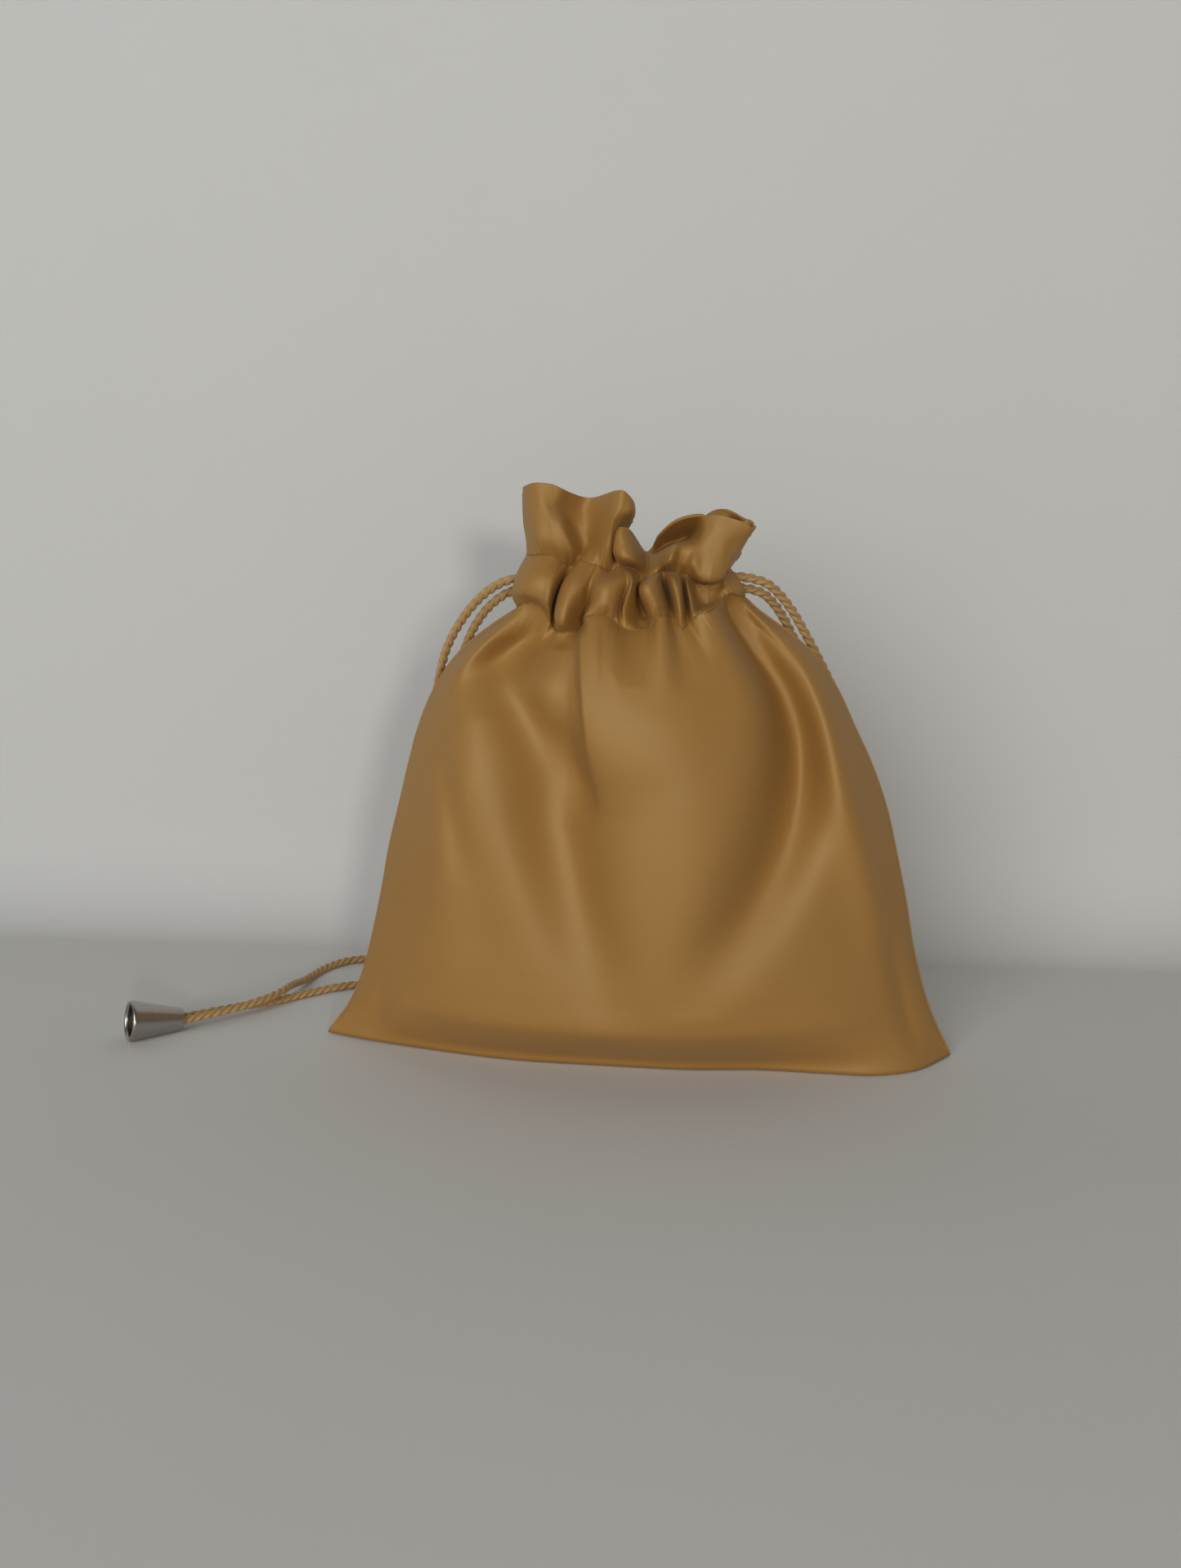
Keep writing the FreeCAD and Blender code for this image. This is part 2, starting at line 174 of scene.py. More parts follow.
def add_noise(nodes, links, place, scale, detail):
    """A noise texture read at a place."""
    noise = nodes.new("ShaderNodeTexNoise")
    noise.inputs["Scale"].default_value = scale
    noise.inputs["Detail"].default_value = detail
    links.new(place, noise.inputs["Vector"])
    return noise


def object_noise(nodes, links, scale, detail):
    """A noise texture on the piece's own Object coordinates."""
    place = nodes.new("ShaderNodeTexCoord")
    return add_noise(nodes, links, place.outputs["Object"], scale, detail)


def make_thread_group():
    """Fine parallel threads: bands along V of the piece's own UV map, in metres.

    Puts out a height for the bump and a mask for slubs, the slightly thicker
    places in single threads.
    """
    group, entry, leave = new_group(
        "parallel threads",
        [("Threads per metre", "NodeSocketFloat", 3000.0), ("Slub length", "NodeSocketFloat", 60.0)],
        [("Height", "NodeSocketFloat"), ("Slubs", "NodeSocketFloat")])
    nodes, links = group.nodes, group.links
    place = nodes.new("ShaderNodeUVMap")
    place.uv_map = "weave"
    split = nodes.new("ShaderNodeSeparateXYZ")
    links.new(place.outputs[0], split.inputs[0])
    across = math_node(nodes, "MULTIPLY")
    links.new(split.outputs["Y"], across.inputs[0])
    links.new(entry.outputs["Threads per metre"], across.inputs[1])
    turn = math_node(nodes, "MULTIPLY", None, 2 * math.pi)
    links.new(across.outputs[0], turn.inputs[0])
    wave = math_node(nodes, "SINE")
    links.new(turn.outputs[0], wave.inputs[0])
    along = math_node(nodes, "MULTIPLY")
    links.new(split.outputs["X"], along.inputs[0])
    links.new(entry.outputs["Slub length"], along.inputs[1])
    stretched = nodes.new("ShaderNodeCombineXYZ")
    links.new(along.outputs[0], stretched.inputs["X"])
    links.new(across.outputs[0], stretched.inputs["Y"])
    noise = add_noise(nodes, links, stretched.outputs[0], 0.35, 3.0)
    noise.noise_dimensions = "2D"
    half = math_node(nodes, "MULTIPLY", None, 0.35)
    links.new(wave.outputs[0], half.inputs[0])
    total = math_node(nodes, "ADD")
    links.new(half.outputs[0], total.inputs[0])
    links.new(noise.outputs["Fac"], total.inputs[1])
    links.new(total.outputs[0], leave.inputs["Height"])
    links.new(noise.outputs["Fac"], leave.inputs["Slubs"])
    return group


THREADS = make_thread_group()


def place_group(nodes, group, **values):
    """A group node with its inputs set."""
    node = nodes.new("ShaderNodeGroup")
    node.node_tree = group
    for label, value in values.items():
        node.inputs[label.replace("_", " ")].default_value = value
    return node


def mix_colours(nodes, links, mask, first, second):
    """A colour mix between two set colours, steered by a mask."""
    mix = nodes.new("ShaderNodeMix")
    mix.data_type = "RGBA"
    mix.inputs["A"].default_value = (*first, 1)
    mix.inputs["B"].default_value = (*second, 1)
    links.new(mask, mix.inputs["Factor"])
    return mix.outputs["Result"]


def add_bump(nodes, links, shader, height, strength, distance):
    """A bump from a height into the shader's normal."""
    bump = nodes.new("ShaderNodeBump")
    bump.inputs["Strength"].default_value = strength
    bump.inputs["Distance"].default_value = distance
    links.new(height, bump.inputs["Height"])
    links.new(bump.outputs[0], shader.inputs["Normal"])


def make_satin():
    """Gold satin: a smooth warp face with fine cross threads and a soft broad gloss."""
    material, nodes, links, shader = new_material("gold satin")
    threads = place_group(nodes, THREADS, Threads_per_metre=2600.0, Slub_length=45.0)
    colour = mix_colours(nodes, links, threads.outputs["Slubs"],
                         (0.336, 0.162, 0.034), (0.354, 0.174, 0.038))
    broad = object_noise(nodes, links, 22.0, 2.0)
    tone = mix_colours(nodes, links, broad.outputs["Fac"],
                       (0.95, 0.95, 0.95), (1.05, 1.04, 1.02))
    product = nodes.new("ShaderNodeMix")
    product.data_type = "RGBA"
    product.blend_type = "MULTIPLY"
    product.inputs["Factor"].default_value = 1.0
    links.new(colour, product.inputs["A"])
    links.new(tone, product.inputs["B"])
    links.new(product.outputs["Result"], shader.inputs["Base Color"])
    add_bump(nodes, links, shader, threads.outputs["Height"], 0.2, 0.1 * MM)
    shader.inputs["Roughness"].default_value = 0.60
    shader.inputs["IOR"].default_value = 1.75
    shader.inputs["Specular Tint"].default_value = (1.0, 0.93, 0.62, 1)
    shader.inputs["Sheen Weight"].default_value = 0.06
    shader.inputs["Sheen Roughness"].default_value = 0.4
    shader.inputs["Sheen Tint"].default_value = (1.0, 0.86, 0.62, 1)
    return material


def make_thread():
    """Matt sewing thread, a shade darker than the satin, with small slubs."""
    material, nodes, links, shader = new_material("sewing thread")
    threads = place_group(nodes, THREADS, Threads_per_metre=6000.0, Slub_length=300.0)
    colour = mix_colours(nodes, links, threads.outputs["Slubs"],
                         (0.25, 0.125, 0.03), (0.32, 0.165, 0.045))
    links.new(colour, shader.inputs["Base Color"])
    shader.inputs["Roughness"].default_value = 0.6
    return material


def make_rope_yarn():
    """Shiny rayon yarn: fine fibres along each strand."""
    material, nodes, links, shader = new_material("twisted rayon cord")
    threads = place_group(nodes, THREADS, Threads_per_metre=2200.0, Slub_length=200.0)
    colour = mix_colours(nodes, links, threads.outputs["Slubs"],
                         (0.38, 0.215, 0.062), (0.50, 0.30, 0.10))
    links.new(colour, shader.inputs["Base Color"])
    add_bump(nodes, links, shader, threads.outputs["Height"], 0.5, 0.12 * MM)
    shader.inputs["Roughness"].default_value = 0.38
    shader.inputs["Specular IOR Level"].default_value = 0.5
    shader.inputs["Sheen Weight"].default_value = 0.2
    return material


def make_nickel():
    """Nickel with a fine grain and a worn, uneven gloss."""
    material, nodes, links, shader = new_material("brushed nickel")
    noise = object_noise(nodes, links, 900.0, 4.0)
    colour = mix_colours(nodes, links, noise.outputs["Fac"],
                         (0.36, 0.335, 0.315), (0.50, 0.475, 0.45))
    links.new(colour, shader.inputs["Base Color"])
    rough = nodes.new("ShaderNodeMapRange")
    rough.inputs["To Min"].default_value = 0.22
    rough.inputs["To Max"].default_value = 0.42
    links.new(noise.outputs["Fac"], rough.inputs["Value"])
    links.new(rough.outputs["Result"], shader.inputs["Roughness"])
    shader.inputs["Metallic"].default_value = 1.0
    return material


SATIN = make_satin()
THREAD = make_thread()
ROPE_YARN = make_rope_yarn()
NICKEL = make_nickel()


# ---------------------------------------------------------------- camera

CAMERA_DOWN, CAMERA_TURN = 11.0, 5.2


def make_camera():
    """It stands a little above the sack's mouth and looks slightly down."""
    data = bpy.data.cameras.new("camera")
    data.lens = 27.0
    data.sensor_width = 36.0
    camera = bpy.data.objects.new("camera", data)
    camera.location = (0.0232, -0.4482, 0.195)
    camera.rotation_euler = (math.radians(90 - CAMERA_DOWN), 0, math.radians(CAMERA_TURN))
    bpy.context.scene.collection.objects.link(camera)
    bpy.context.scene.camera = camera


make_camera()


# ---------------------------------------------------------------- cords

CORD_DIAMETER = 3.6 * MM
CORD_TWIST = 11.4 * MM
STRANDS = 3
STRAND_CENTRE, STRAND_RADIUS = 0.49, 0.51
KNOT_YARN, KNOT_TWIST = 3.0 * MM, 9 * MM
KNOT_SIZE, KNOT_SQUEEZE = 1.15 * MM, (0.72, 0.78, 1.2)
CHANNEL_DIAMETER = 3.4 * MM     # inside the casing the cord is pressed a little thinner

# The tails' routes from inside the casing to the knot, point by point, in mm.
TAIL_ROUTES = {
    "left_outer_tail": [
        (-33.0, -2.0, 187.4), (-46.0, -2.0, 187.4), (-58.5, 4.0, 181.5), (-69.0, 10.0, 171.0),
        (-77.5, 15.0, 157.5), (-83.0, 22.0, 139.0), (-88.0, 31.0, 114.0), (-93.0, 37.0, 84.0),
        (-97.5, 44.0, 55.0), (-102.0, 54.0, 31.0), (-108.5, 66.0, 13.0), (-118.0, 79.0, 3.6),
        (-131.0, 88.0, 1.9), (-144.5, 83.5, 1.9), (-152.5, 70.0, 1.9), (-155.0, 54.0, 2.2),
        (-156.0, 39.0, 5.9), (-157.5, 25.0, 6.3), (-172.1, 9.4, 4.7), (-194.3, -8.0, 4.7),
    ],
    "left_inner_tail": [
        (-33.0, 2.0, 183.4), (-45.0, 2.0, 183.4), (-56.5, 8.0, 177.5), (-66.0, 14.5, 166.5),
        (-72.5, 20.0, 152.0), (-78.0, 26.0, 132.0), (-83.0, 32.5, 105.0), (-88.0, 36.5, 76.0),
        (-94.0, 41.0, 48.0), (-100.0, 46.5, 25.0), (-108.5, 52.5, 8.5), (-121.0, 55.0, 1.9),
        (-136.0, 49.5, 1.9), (-149.0, 39.0, 1.9), (-160.5, 27.5, 1.9), (-174.4, 12.3, 4.7),
        (-196.6, -5.1, 4.7),
    ],
    "right_outer_tail": [
        (33.0, -2.0, 187.4), (46.0, -2.0, 187.4), (56.0, 5.0, 178.5), (64.0, 11.0, 166.0),
        (72.0, 15.0, 152.0), (80.0, 18.0, 136.0), (86.0, 24.0, 116.0), (88.0, 33.0, 91.0),
        (88.5, 42.0, 62.0), (90.0, 55.0, 34.0), (94.0, 73.0, 11.0), (93.0, 93.0, 1.9),
        (78.0, 104.0, 1.9), (59.0, 98.0, 1.9), (34.1, 84.2, 4.7), (5.9, 85.1, 4.7),
    ],
    "right_inner_tail": [
        (33.0, 2.0, 183.4), (45.0, 2.0, 183.4), (53.5, 10.0, 175.5), (60.5, 17.0, 163.0),
        (68.0, 21.0, 148.5), (75.5, 24.5, 132.0), (81.0, 31.0, 111.0), (83.0, 39.0, 86.0),
        (83.5, 47.0, 58.0), (84.0, 59.0, 31.0), (83.0, 73.0, 10.0), (75.0, 86.0, 1.9),
        (60.0, 89.0, 1.9), (33.9, 80.5, 4.7), (5.7, 81.4, 4.7),
    ],
}


def route_line(name, route):
    """The smooth line of a cord: points read from its NURBS spline."""
    curve = bpy.data.curves.new(f"{name} route", "CURVE")
    curve.dimensions = "3D"
    spline = curve.splines.new("NURBS")
    spline.points.add(len(route) - 1)
    controls = np.column_stack([np.array(route) * MM, np.ones(len(route))])
    spline.points.foreach_set("co", controls.ravel())
    spline.order_u = 3
    spline.use_endpoint_u = True
    spline.resolution_u = 24
    holder = bpy.data.objects.new(f"{name} route", curve)
    bpy.context.scene.collection.objects.link(holder)
    bpy.context.view_layer.update()
    line = bpy.data.meshes.new_from_object(holder)
    points = np.empty(len(line.vertices) * 3)
    line.vertices.foreach_get("co", points)
    bpy.data.objects.remove(holder)
    bpy.data.meshes.remove(line)
    return points.reshape(-1, 3)


def even_stations(points, step):
    """The line's points respaced evenly, about one step apart."""
    lengths = np.linalg.norm(np.diff(points, axis=0), axis=1)
    keep = np.concatenate([[True], lengths > 1e-9])
    points = points[keep]
    reach = np.concatenate([[0], np.cumsum(np.linalg.norm(np.diff(points, axis=0), axis=1))])
    count = max(int(reach[-1] / step), 8)
    stops = np.linspace(0, reach[-1], count)
    spaced = np.column_stack([np.interp(stops, reach, points[:, axis]) for axis in range(3)])
    return spaced, stops


def turning_frames(stations):
    """Two directions across a line, carried along it without twisting.

    The side direction of each station is the last one made square to the new
    direction, so this walks the stations, not the vertices.
    """
    ahead = unit(np.gradient(stations, axis=0))
    side = np.empty_like(ahead)
    last = np.cross(ahead[0], (0.3, 0.4, 0.87))
    for index, direction in enumerate(ahead):
        last = last - direction * (last @ direction)
        last = last / np.linalg.norm(last)
        side[index] = last
    return side, np.cross(ahead, side)


def ring_angles(count):
    """Even angles once round a tube."""
    return np.linspace(0, 2 * math.pi, count, endpoint=False)


def tube_points(stations, reach, angles):
    """Rings round a line: station + reach (cos(angle) side + sin(angle) over).

    reach holds a radius for each station and angle, or one column of them.
    """
    side, over = turning_frames(stations)
    turn = angles[None, :, None]
    outward = np.cos(turn) * side[:, None, :] + np.sin(turn) * over[:, None, :]
    return stations[:, None, :] + reach[..., None] * outward


def rope_profile(angle, radius):
    """The outline of three round strands laid together, as a radius per angle.

    A strand's circle of radius s, whose centre is c out from the axis, reaches
    c cos(d) + sqrt(s squared - c squared sin squared(d)) at an angle d from it.
    """
    sector = 2 * math.pi / STRANDS
    away = np.mod(angle + sector / 2, sector) - sector / 2
    centre = STRAND_CENTRE * radius
    strand = STRAND_RADIUS * radius
    return centre * np.cos(away) + np.sqrt(strand ** 2 - (centre * np.sin(away)) ** 2)


def rope_piece(name, line, diameter, twist):
    """A left-laid rope: the strand outline turned as it is carried along a line.

    Its ends are rounded off, and its UVs run along the twisted strands.
    """
    stations, stops = even_stations(line, diameter * 0.13)
    angles = ring_angles(42)
    lay = -2 * math.pi * stops[:, None] / twist
    reach = rope_profile(angles[None, :] - lay, diameter / 2)
    ends = np.minimum(stops, stops[-1] - stops)[:, None]
    reach = reach * np.sqrt(np.clip(ends / (0.4 * diameter), 0.0, 1.0))
    points = tube_points(stations, reach, angles)
    strand_angle = (angles[None, :] - lay) * diameter / 2
    uv = np.stack([np.broadcast_to(stops[:, None], reach.shape),
                   strand_angle + 0.35 * stops[:, None]], axis=-1)
    piece = grid_piece(name, points, uv, ROPE_YARN, wrap_u=True)
    return piece, stations


def knot_line(word):
    """A tight overhand knot: one trefoil turn, squeezed into the knot's place.

    The trefoil is x = sin t + a sin 2t, y = cos t - a cos 2t, z = -sin 3t, each
    squeezed by its own share.  Its ends run on a little, each inside the other.
    """
    low, high = (np.array(corner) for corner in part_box(f"{word}_knot"))
    centre = (low + high) / 2
    tuck, loops = 0.3, 1.45
    turn = np.linspace(-tuck, 2 * math.pi + tuck, 260)
    trefoil = np.stack([np.sin(turn) + loops * np.sin(2 * turn),
                        np.cos(turn) - loops * np.cos(2 * turn),
                        -np.sin(3 * turn)], axis=-1)
    return centre + KNOT_SIZE * np.array(KNOT_SQUEEZE) * trefoil


# The bell's wall, outside and then inside: along the axis and out from it, in mm.
BELL_LOW_RADIUS, BELL_WIDE_RADIUS, BELL_LENGTH = 4.6, 8.3, 20.4
BELL_PROFILE = [
    (0.25, 4.05), (0.0, 4.3), (0.25, 4.62), (0.9, 4.78), (4, 5.36), (8, 6.08), (12, 6.80), (16, 7.5),
    (19.0, 8.08), (20.0, 8.27), (20.7, 8.25), (21.2, 7.95), (21.35, 7.5), (21.2, 7.0), (20.7, 6.65),
    (20.0, 6.55), (18.5, 6.9), (16, 6.75), (12, 6.0), (8, 5.25), (4, 4.55), (1.4, 4.05), (0.7, 3.98),
]


def make_bell(word, small_end, heading_degrees):
    """A turned metal bell: a profile of radius against length, spun on its axis.

    It lies on its side, so its axis rises from the small end to the mouth by
    the slope of its wall.
    """
    tilt = math.atan2(BELL_WIDE_RADIUS - BELL_LOW_RADIUS, BELL_LENGTH)
    closed = np.array(BELL_PROFILE + BELL_PROFILE[:1])
    keys = np.arange(len(closed))
    fine = np.linspace(0, len(BELL_PROFILE), 150, endpoint=False)
    along = through(keys, closed[:, 0], fine)[:, None]
    reach = through(keys, closed[:, 1], fine)[:, None]
    turn = ring_angles(96)[None, :]
    heading = math.radians(heading_degrees)
    level = np.array([math.cos(heading), math.sin(heading), 0])
    up = np.array([0, 0, 1.0])
    axis = level * math.cos(tilt) + up * math.sin(tilt)
    rise = up * math.cos(tilt) - level * math.sin(tilt)
    aside = np.cross(axis, rise)
    start = np.array([*small_end, BELL_LOW_RADIUS / math.cos(tilt)])
    points = (start + along[..., None] * axis
              + reach[..., None] * (np.cos(turn)[..., None] * rise + np.sin(turn)[..., None] * aside))
    uv = np.stack(np.broadcast_arrays(turn * 0.008, along * MM), axis=-1)
    piece = grid_piece(f"{word}_bell", points * MM, uv, NICKEL, wrap_u=True, wrap_v=True)
    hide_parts(f"{word}_cord_end")
    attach(piece, f"{word}_cord_end_body")
    return piece


# Where each bell's small end lies on the floor, in mm, and which way its mouth points.
BELL_PLACES = {"left": ((-189.0, -1.5), 218.0), "right": ((14.0, 83.0), 178.0)}


def make_drawstring_tails(word):
    """One drawstring's two tails, its knot and its bell."""
    body = f"{word}_drawstring"
    small_end, heading = BELL_PLACES[word]
    bell = make_bell(word, small_end, heading)
    knot, _ = rope_piece(f"{word}_overhand_knot", knot_line(word), KNOT_YARN, KNOT_TWIST)
    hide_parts(f"{word}_knot")
    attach(knot, body)
    for lie in ("outer", "inner"):
        label = f"{word}_{lie}_tail"
        route = TAIL_ROUTES[label]
        line = route_line(label, route)
        tail, stations = rope_piece(f"{label}_rope", line, CORD_DIAMETER, CORD_TWIST)
        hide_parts(label)
        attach(tail, body)


for word in BELL_PLACES:
    make_drawstring_tails(word)


# ---------------------------------------------------------------- the sack's shape

# Side seams seen from the front: how far left and right each height reaches, in mm.
SEAM_HEIGHTS = [0, 4, 12, 21, 31, 45, 62, 80, 100, 116, 130, 146, 157, 166, 174, 180]
LEFT_SEAM = [-127, -124, -118, -113.5, -109.8, -106, -102, -98.3, -93, -88.8, -84.5, -77,
             -69, -59, -48, -45]
RIGHT_SEAM = [125.5, 123.5, 119.5, 115.6, 112.3, 108.6, 105.2, 101, 95.8, 89.8, 83, 75, 67.5, 57, 45, 42]

# How far the middle of each panel stands out from the seams at each height, in mm.
BULGE_HEIGHTS = [0, 8, 18, 34, 60, 95, 125, 145, 158, 168, 176]
FRONT_BULGE = [21, 35, 41.5, 44.5, 45, 44.5, 42.5, 39, 34.5, 30, 26]
BACK_BULGE = [20, 31, 36, 40, 43, 43.5, 41.5, 38, 34, 29, 25]

# The outline of the base in front of and behind the bottom seam, in mm.
BASE_STATIONS = [-127, -112, -86, -42, -10, 20, 45, 74, 94, 112, 125.5]
FRONT_BASE = [0, 5, 12, 20.5, 21.5, 20.5, 19.5, 21.5, 21.5, 14, 0]
BACK_BASE = [0, 8, 15, 20, 21, 21, 21, 20, 15, 8, 0]

# The front half of the mouth as lines of cloth from the lower stitching up to the
# hem, from the left seam to the right one.  Each row starts with the line's share of
# the width; then come its places (x, y, height) in mm at the lower stitching, twice
# inside the casing, at the upper stitching, three times up the frill and at the hem.
FRONT_LINES = [
    (0.00, (-44.5, 0, 175), (-46, -4.6, 180), (-45, -4.6, 187), (-41.5, 0, 195),
     (-41.5, 0, 201), (-42, 0, 207), (-42, 1, 213), (-42, 2, 219)),
    (0.05, (-44.5, -8, 175.5), (-46, -10, 180), (-44.5, -10, 187), (-40.5, -8, 194.8),
     (-41, -7, 201), (-41.5, -7, 207), (-42, -6, 213), (-42.3, -5, 219)),
    (0.10, (-42, -14, 177), (-43.5, -18, 181.5), (-41.5, -18, 187.5), (-37.5, -14, 194.6),
     (-38, -15, 201), (-38.8, -14.5, 207), (-39.5, -14, 213.5), (-39.5, -13, 219.5)),
    (0.15, (-37, -17, 177.5), (-38, -24, 181), (-36, -24.5, 187), (-33, -17.5, 194.8),
     (-34.5, -21, 200.5), (-35.5, -20, 207), (-36, -18.5, 214), (-36, -17.5, 220)),
    (0.19, (-33, -18, 175), (-33, -26, 179.5), (-31.5, -26, 186.5), (-28.5, -18, 194),
     (-30.5, -22.5, 200), (-31.5, -22, 207), (-33, -20, 214), (-32.5, -18.5, 219.8)),
    (0.22, (-31, -17, 171), (-30, -26, 177.5), (-28, -25, 185.5), (-25.5, -16, 191.5),
     (-26.5, -22.5, 198), (-28.5, -23, 205.5), (-30, -19.5, 212.5), (-29, -18, 219.2)),
    (0.245, (-30, -14, 168), (-29.5, -15, 177), (-26.5, -15.5, 185), (-22.8, -13, 191.2),
     (-22.3, -20, 197), (-25.3, -21.5, 205), (-28, -18, 211.5), (-26, -16.5, 217.8)),
    (0.27, (-27.5, -18.5, 167), (-28, -26.5, 173), (-25.8, -23, 184), (-20, -15.5, 193),
     (-20, -11.5, 197), (-23.2, -12, 205), (-25, -12.5, 211.5), (-22.5, -10.5, 216.3)),
    (0.30, (-23.5, -20, 167.3), (-24.3, -31, 171.5), (-22, -28, 183.5), (-18.5, -17.5, 192.5),
     (-17.8, -10, 198), (-19.3, -9, 205), (-20.2, -7, 211), (-18.5, -6, 215.3)),
    (0.33, (-20.3, -20, 167.5), (-19.8, -23, 173.5), (-18.5, -27, 183), (-16, -18.5, 191.5),
     (-15.5, -13.5, 198), (-16, -11, 205), (-16, -9, 211), (-14.5, -7.5, 215.5)),
    (0.355, (-18.6, -20, 170), (-16.8, -20, 177), (-15.5, -23, 184.5), (-13, -18, 190.8),
     (-12.5, -19, 198), (-12.5, -17, 205), (-11.5, -15.5, 211), (-10.5, -14, 216.3)),
    (0.38, (-17.3, -29, 173), (-14.5, -29, 178), (-13, -27.5, 184.5), (-10.8, -16.5, 189.3),
     (-9.7, -22.5, 197.5), (-8.8, -23, 204.5), (-7.5, -22, 210.5), (-6.5, -20.5, 217)),
    (0.405, (-12.5, -30.5, 173.8), (-11, -33, 178.5), (-9.5, -30.5, 185), (-8.7, -14.5, 188.8),
     (-8.0, -21, 197.5), (-7.0, -24, 206), (-4, -23, 211), (-3, -21.5, 216.3)),
    (0.425, (-9.5, -29.5, 173.3), (-8, -32.5, 178), (-6.5, -29.5, 185.5), (-7.5, -15, 189.5),
     (-7.6, -14, 197), (-4.5, -18, 205.8), (-0.7, -18.5, 209.5), (-0.2, -16.5, 212.5)),
    (0.445, (-6.5, -28, 171.5), (-5.5, -29, 177), (-4, -27.5, 186), (-6.5, -16, 190.3),
     (-6.8, -10, 196), (-5, -5, 202.5), (-2.5, -3, 206), (-1.5, -2, 207.5)),
    (0.465, (-4.5, -27.5, 169.8), (-4.8, -23.5, 176.5), (-2, -25.5, 186), (-5.8, -16, 190.6),
     (-7.8, -19.5, 195.5), (-7.8, -18.5, 200.5), (-7.4, -17.5, 203), (-7, -16.5, 204.3)),
    (0.485, (-2, -27, 168.6), (-3.2, -26.5, 175.5), (-0.3, -28.5, 185.5), (-3, -14, 190.2),
     (-4.3, -25, 193.5), (-4.8, -24, 199), (-5, -22.5, 202.5), (-4.8, -21, 204.4)),
    (0.505, (0.5, -27, 168.2), (-0.6, -22, 173.5), (0.8, -24, 183.5), (-0.3, -13.5, 189.5),
     (-0.9, -25, 193), (-1.7, -22.5, 198.5), (-2.2, -20.5, 201.5), (-2.2, -19, 203.8)),
    (0.525, (3, -27, 168.2), (2.2, -15, 172.5), (1.6, -18, 181.5), (2.2, -13, 187.8),
     (2.2, -20, 192), (0.8, -17.5, 196.5), (-0.3, -16, 199.5), (-0.6, -15, 202)),
    (0.545, (5.5, -28, 168.8), (4.6, -16, 173), (1.9, -24, 182), (3.4, -14, 186.5),
     (3.6, -10, 191), (3.2, -5, 193.5), (3, -1, 195), (2.8, 2, 196)),
    (0.565, (7.4, -29.5, 170.8), (5.6, -29.5, 175), (3.0, -32.5, 183), (4.4, -15.5, 186.8),
     (5, -10, 191), (5, -4, 194), (5, 0, 195.5), (5, 1.5, 197)),
    (0.59, (9.4, -31, 173.3), (8.2, -34.5, 178), (5.8, -34, 185), (6, -15.5, 187.4),
     (7.5, -12, 191.5), (7.5, -4, 195), (7.8, 4, 196.6), (8, -4, 201)),
    (0.61, (11.6, -29.5, 173.8), (10.8, -29.5, 178.5), (8.6, -29, 185.5), (8, -14, 188),
     (9.3, -16, 192), (10, -10, 196), (10.5, 4, 198.4), (11, -8, 203.8)),
    (0.635, (13.6, -25, 172.5), (12.3, -16, 178), (10.6, -12, 184), (10.2, -12, 188.8),
     (11, -21, 192), (12, -14.5, 197.2), (13.5, 5.5, 199.3), (14, -10.5, 206)),
    (0.66, (16, -27, 170), (14.9, -27, 177), (13.4, -27, 185.5), (12.7, -14.5, 188.3),
     (13.2, -23.5, 193), (14.5, -17, 198.3), (16.5, 6, 200.3), (17, -12, 207.3)),
    (0.685, (18, -27, 169.3), (17.5, -28, 176), (16.5, -25.5, 184.5), (15.3, -14.5, 188),
     (15.8, -18.5, 193), (17.5, -16, 198.2), (19, 4.5, 201.3), (20, -13, 208)),
    (0.705, (19.6, -24.5, 170.5), (18.8, -17, 177), (17.8, -14, 184), (17.4, -12.5, 188),
     (18, -17.5, 192), (20.5, -17, 197.7), (21.5, -3, 203), (22.5, -13.5, 208.3)),
    (0.73, (21.5, -27, 172.5), (20.7, -27.5, 177.5), (19.2, -23.5, 184), (19, -14.5, 187),
     (20.8, -21.5, 191.5), (22.8, -18.5, 197), (24, -14.5, 203.5), (25, -14.5, 208.5)),
    (0.755, (23.6, -28, 174.5), (22.6, -17, 176.5), (21.6, -10.5, 182), (22.2, -10, 184.8),
     (23.5, -20, 187), (25.5, -19, 197.5), (27, -17.8, 203.5), (28, -16.5, 208.6)),
    (0.78, (26, -28, 175), (25.7, -12.5, 175.5), (25.2, -9.8, 181), (25.6, -9.5, 184),
     (26.5, -20.5, 186), (28.5, -18.8, 197), (30, -18.5, 203.5), (31, -17.5, 208.3)),
    (0.81, (28.8, -24, 176.5), (28.2, -13, 177.5), (28, -9.9, 182), (28.6, -9.6, 184.3),
     (29.5, -19, 186.2), (31.5, -18, 197), (33.5, -18, 203), (34.5, -17.5, 207.3)),
    (0.85, (31.5, -15, 179), (30.8, -13, 180.5), (30.4, -10, 183), (31, -9.9, 185),
     (32.3, -16.5, 187.5), (34.5, -15.5, 197), (37, -16.5, 202), (38.5, -17, 206)),
    (0.90, (34.8, -12, 181), (33.8, -12, 182.8), (33, -11, 184.6), (32, -10, 186.8),
     (34.8, -11, 191.5), (37.8, -12, 197), (40.4, -13, 201), (42, -15, 203.5)),
    (0.95, (38, -8.5, 180), (38, -8.2, 182), (36.2, -8, 185), (33.8, -5.5, 188.5),
     (36.8, -5.5, 193), (39.5, -6, 198), (41.5, -7, 201.5), (43.5, -9, 204.5)),
    (1.00, (40.5, 0, 179), (40, -4.6, 182), (37.8, -4.6, 186), (34.5, 0, 190),
     (37.3, 0, 194), (39.8, 0, 198.5), (41.7, 0, 202), (42.5, -1, 206)),
]
LINE_SHARES = [line[0] for line in FRONT_LINES]
FRONT_PLACES = np.array([line[1:] for line in FRONT_LINES], float).transpose(1, 0, 2)
LOWER, UPPER, HEM = 0, 3, 7

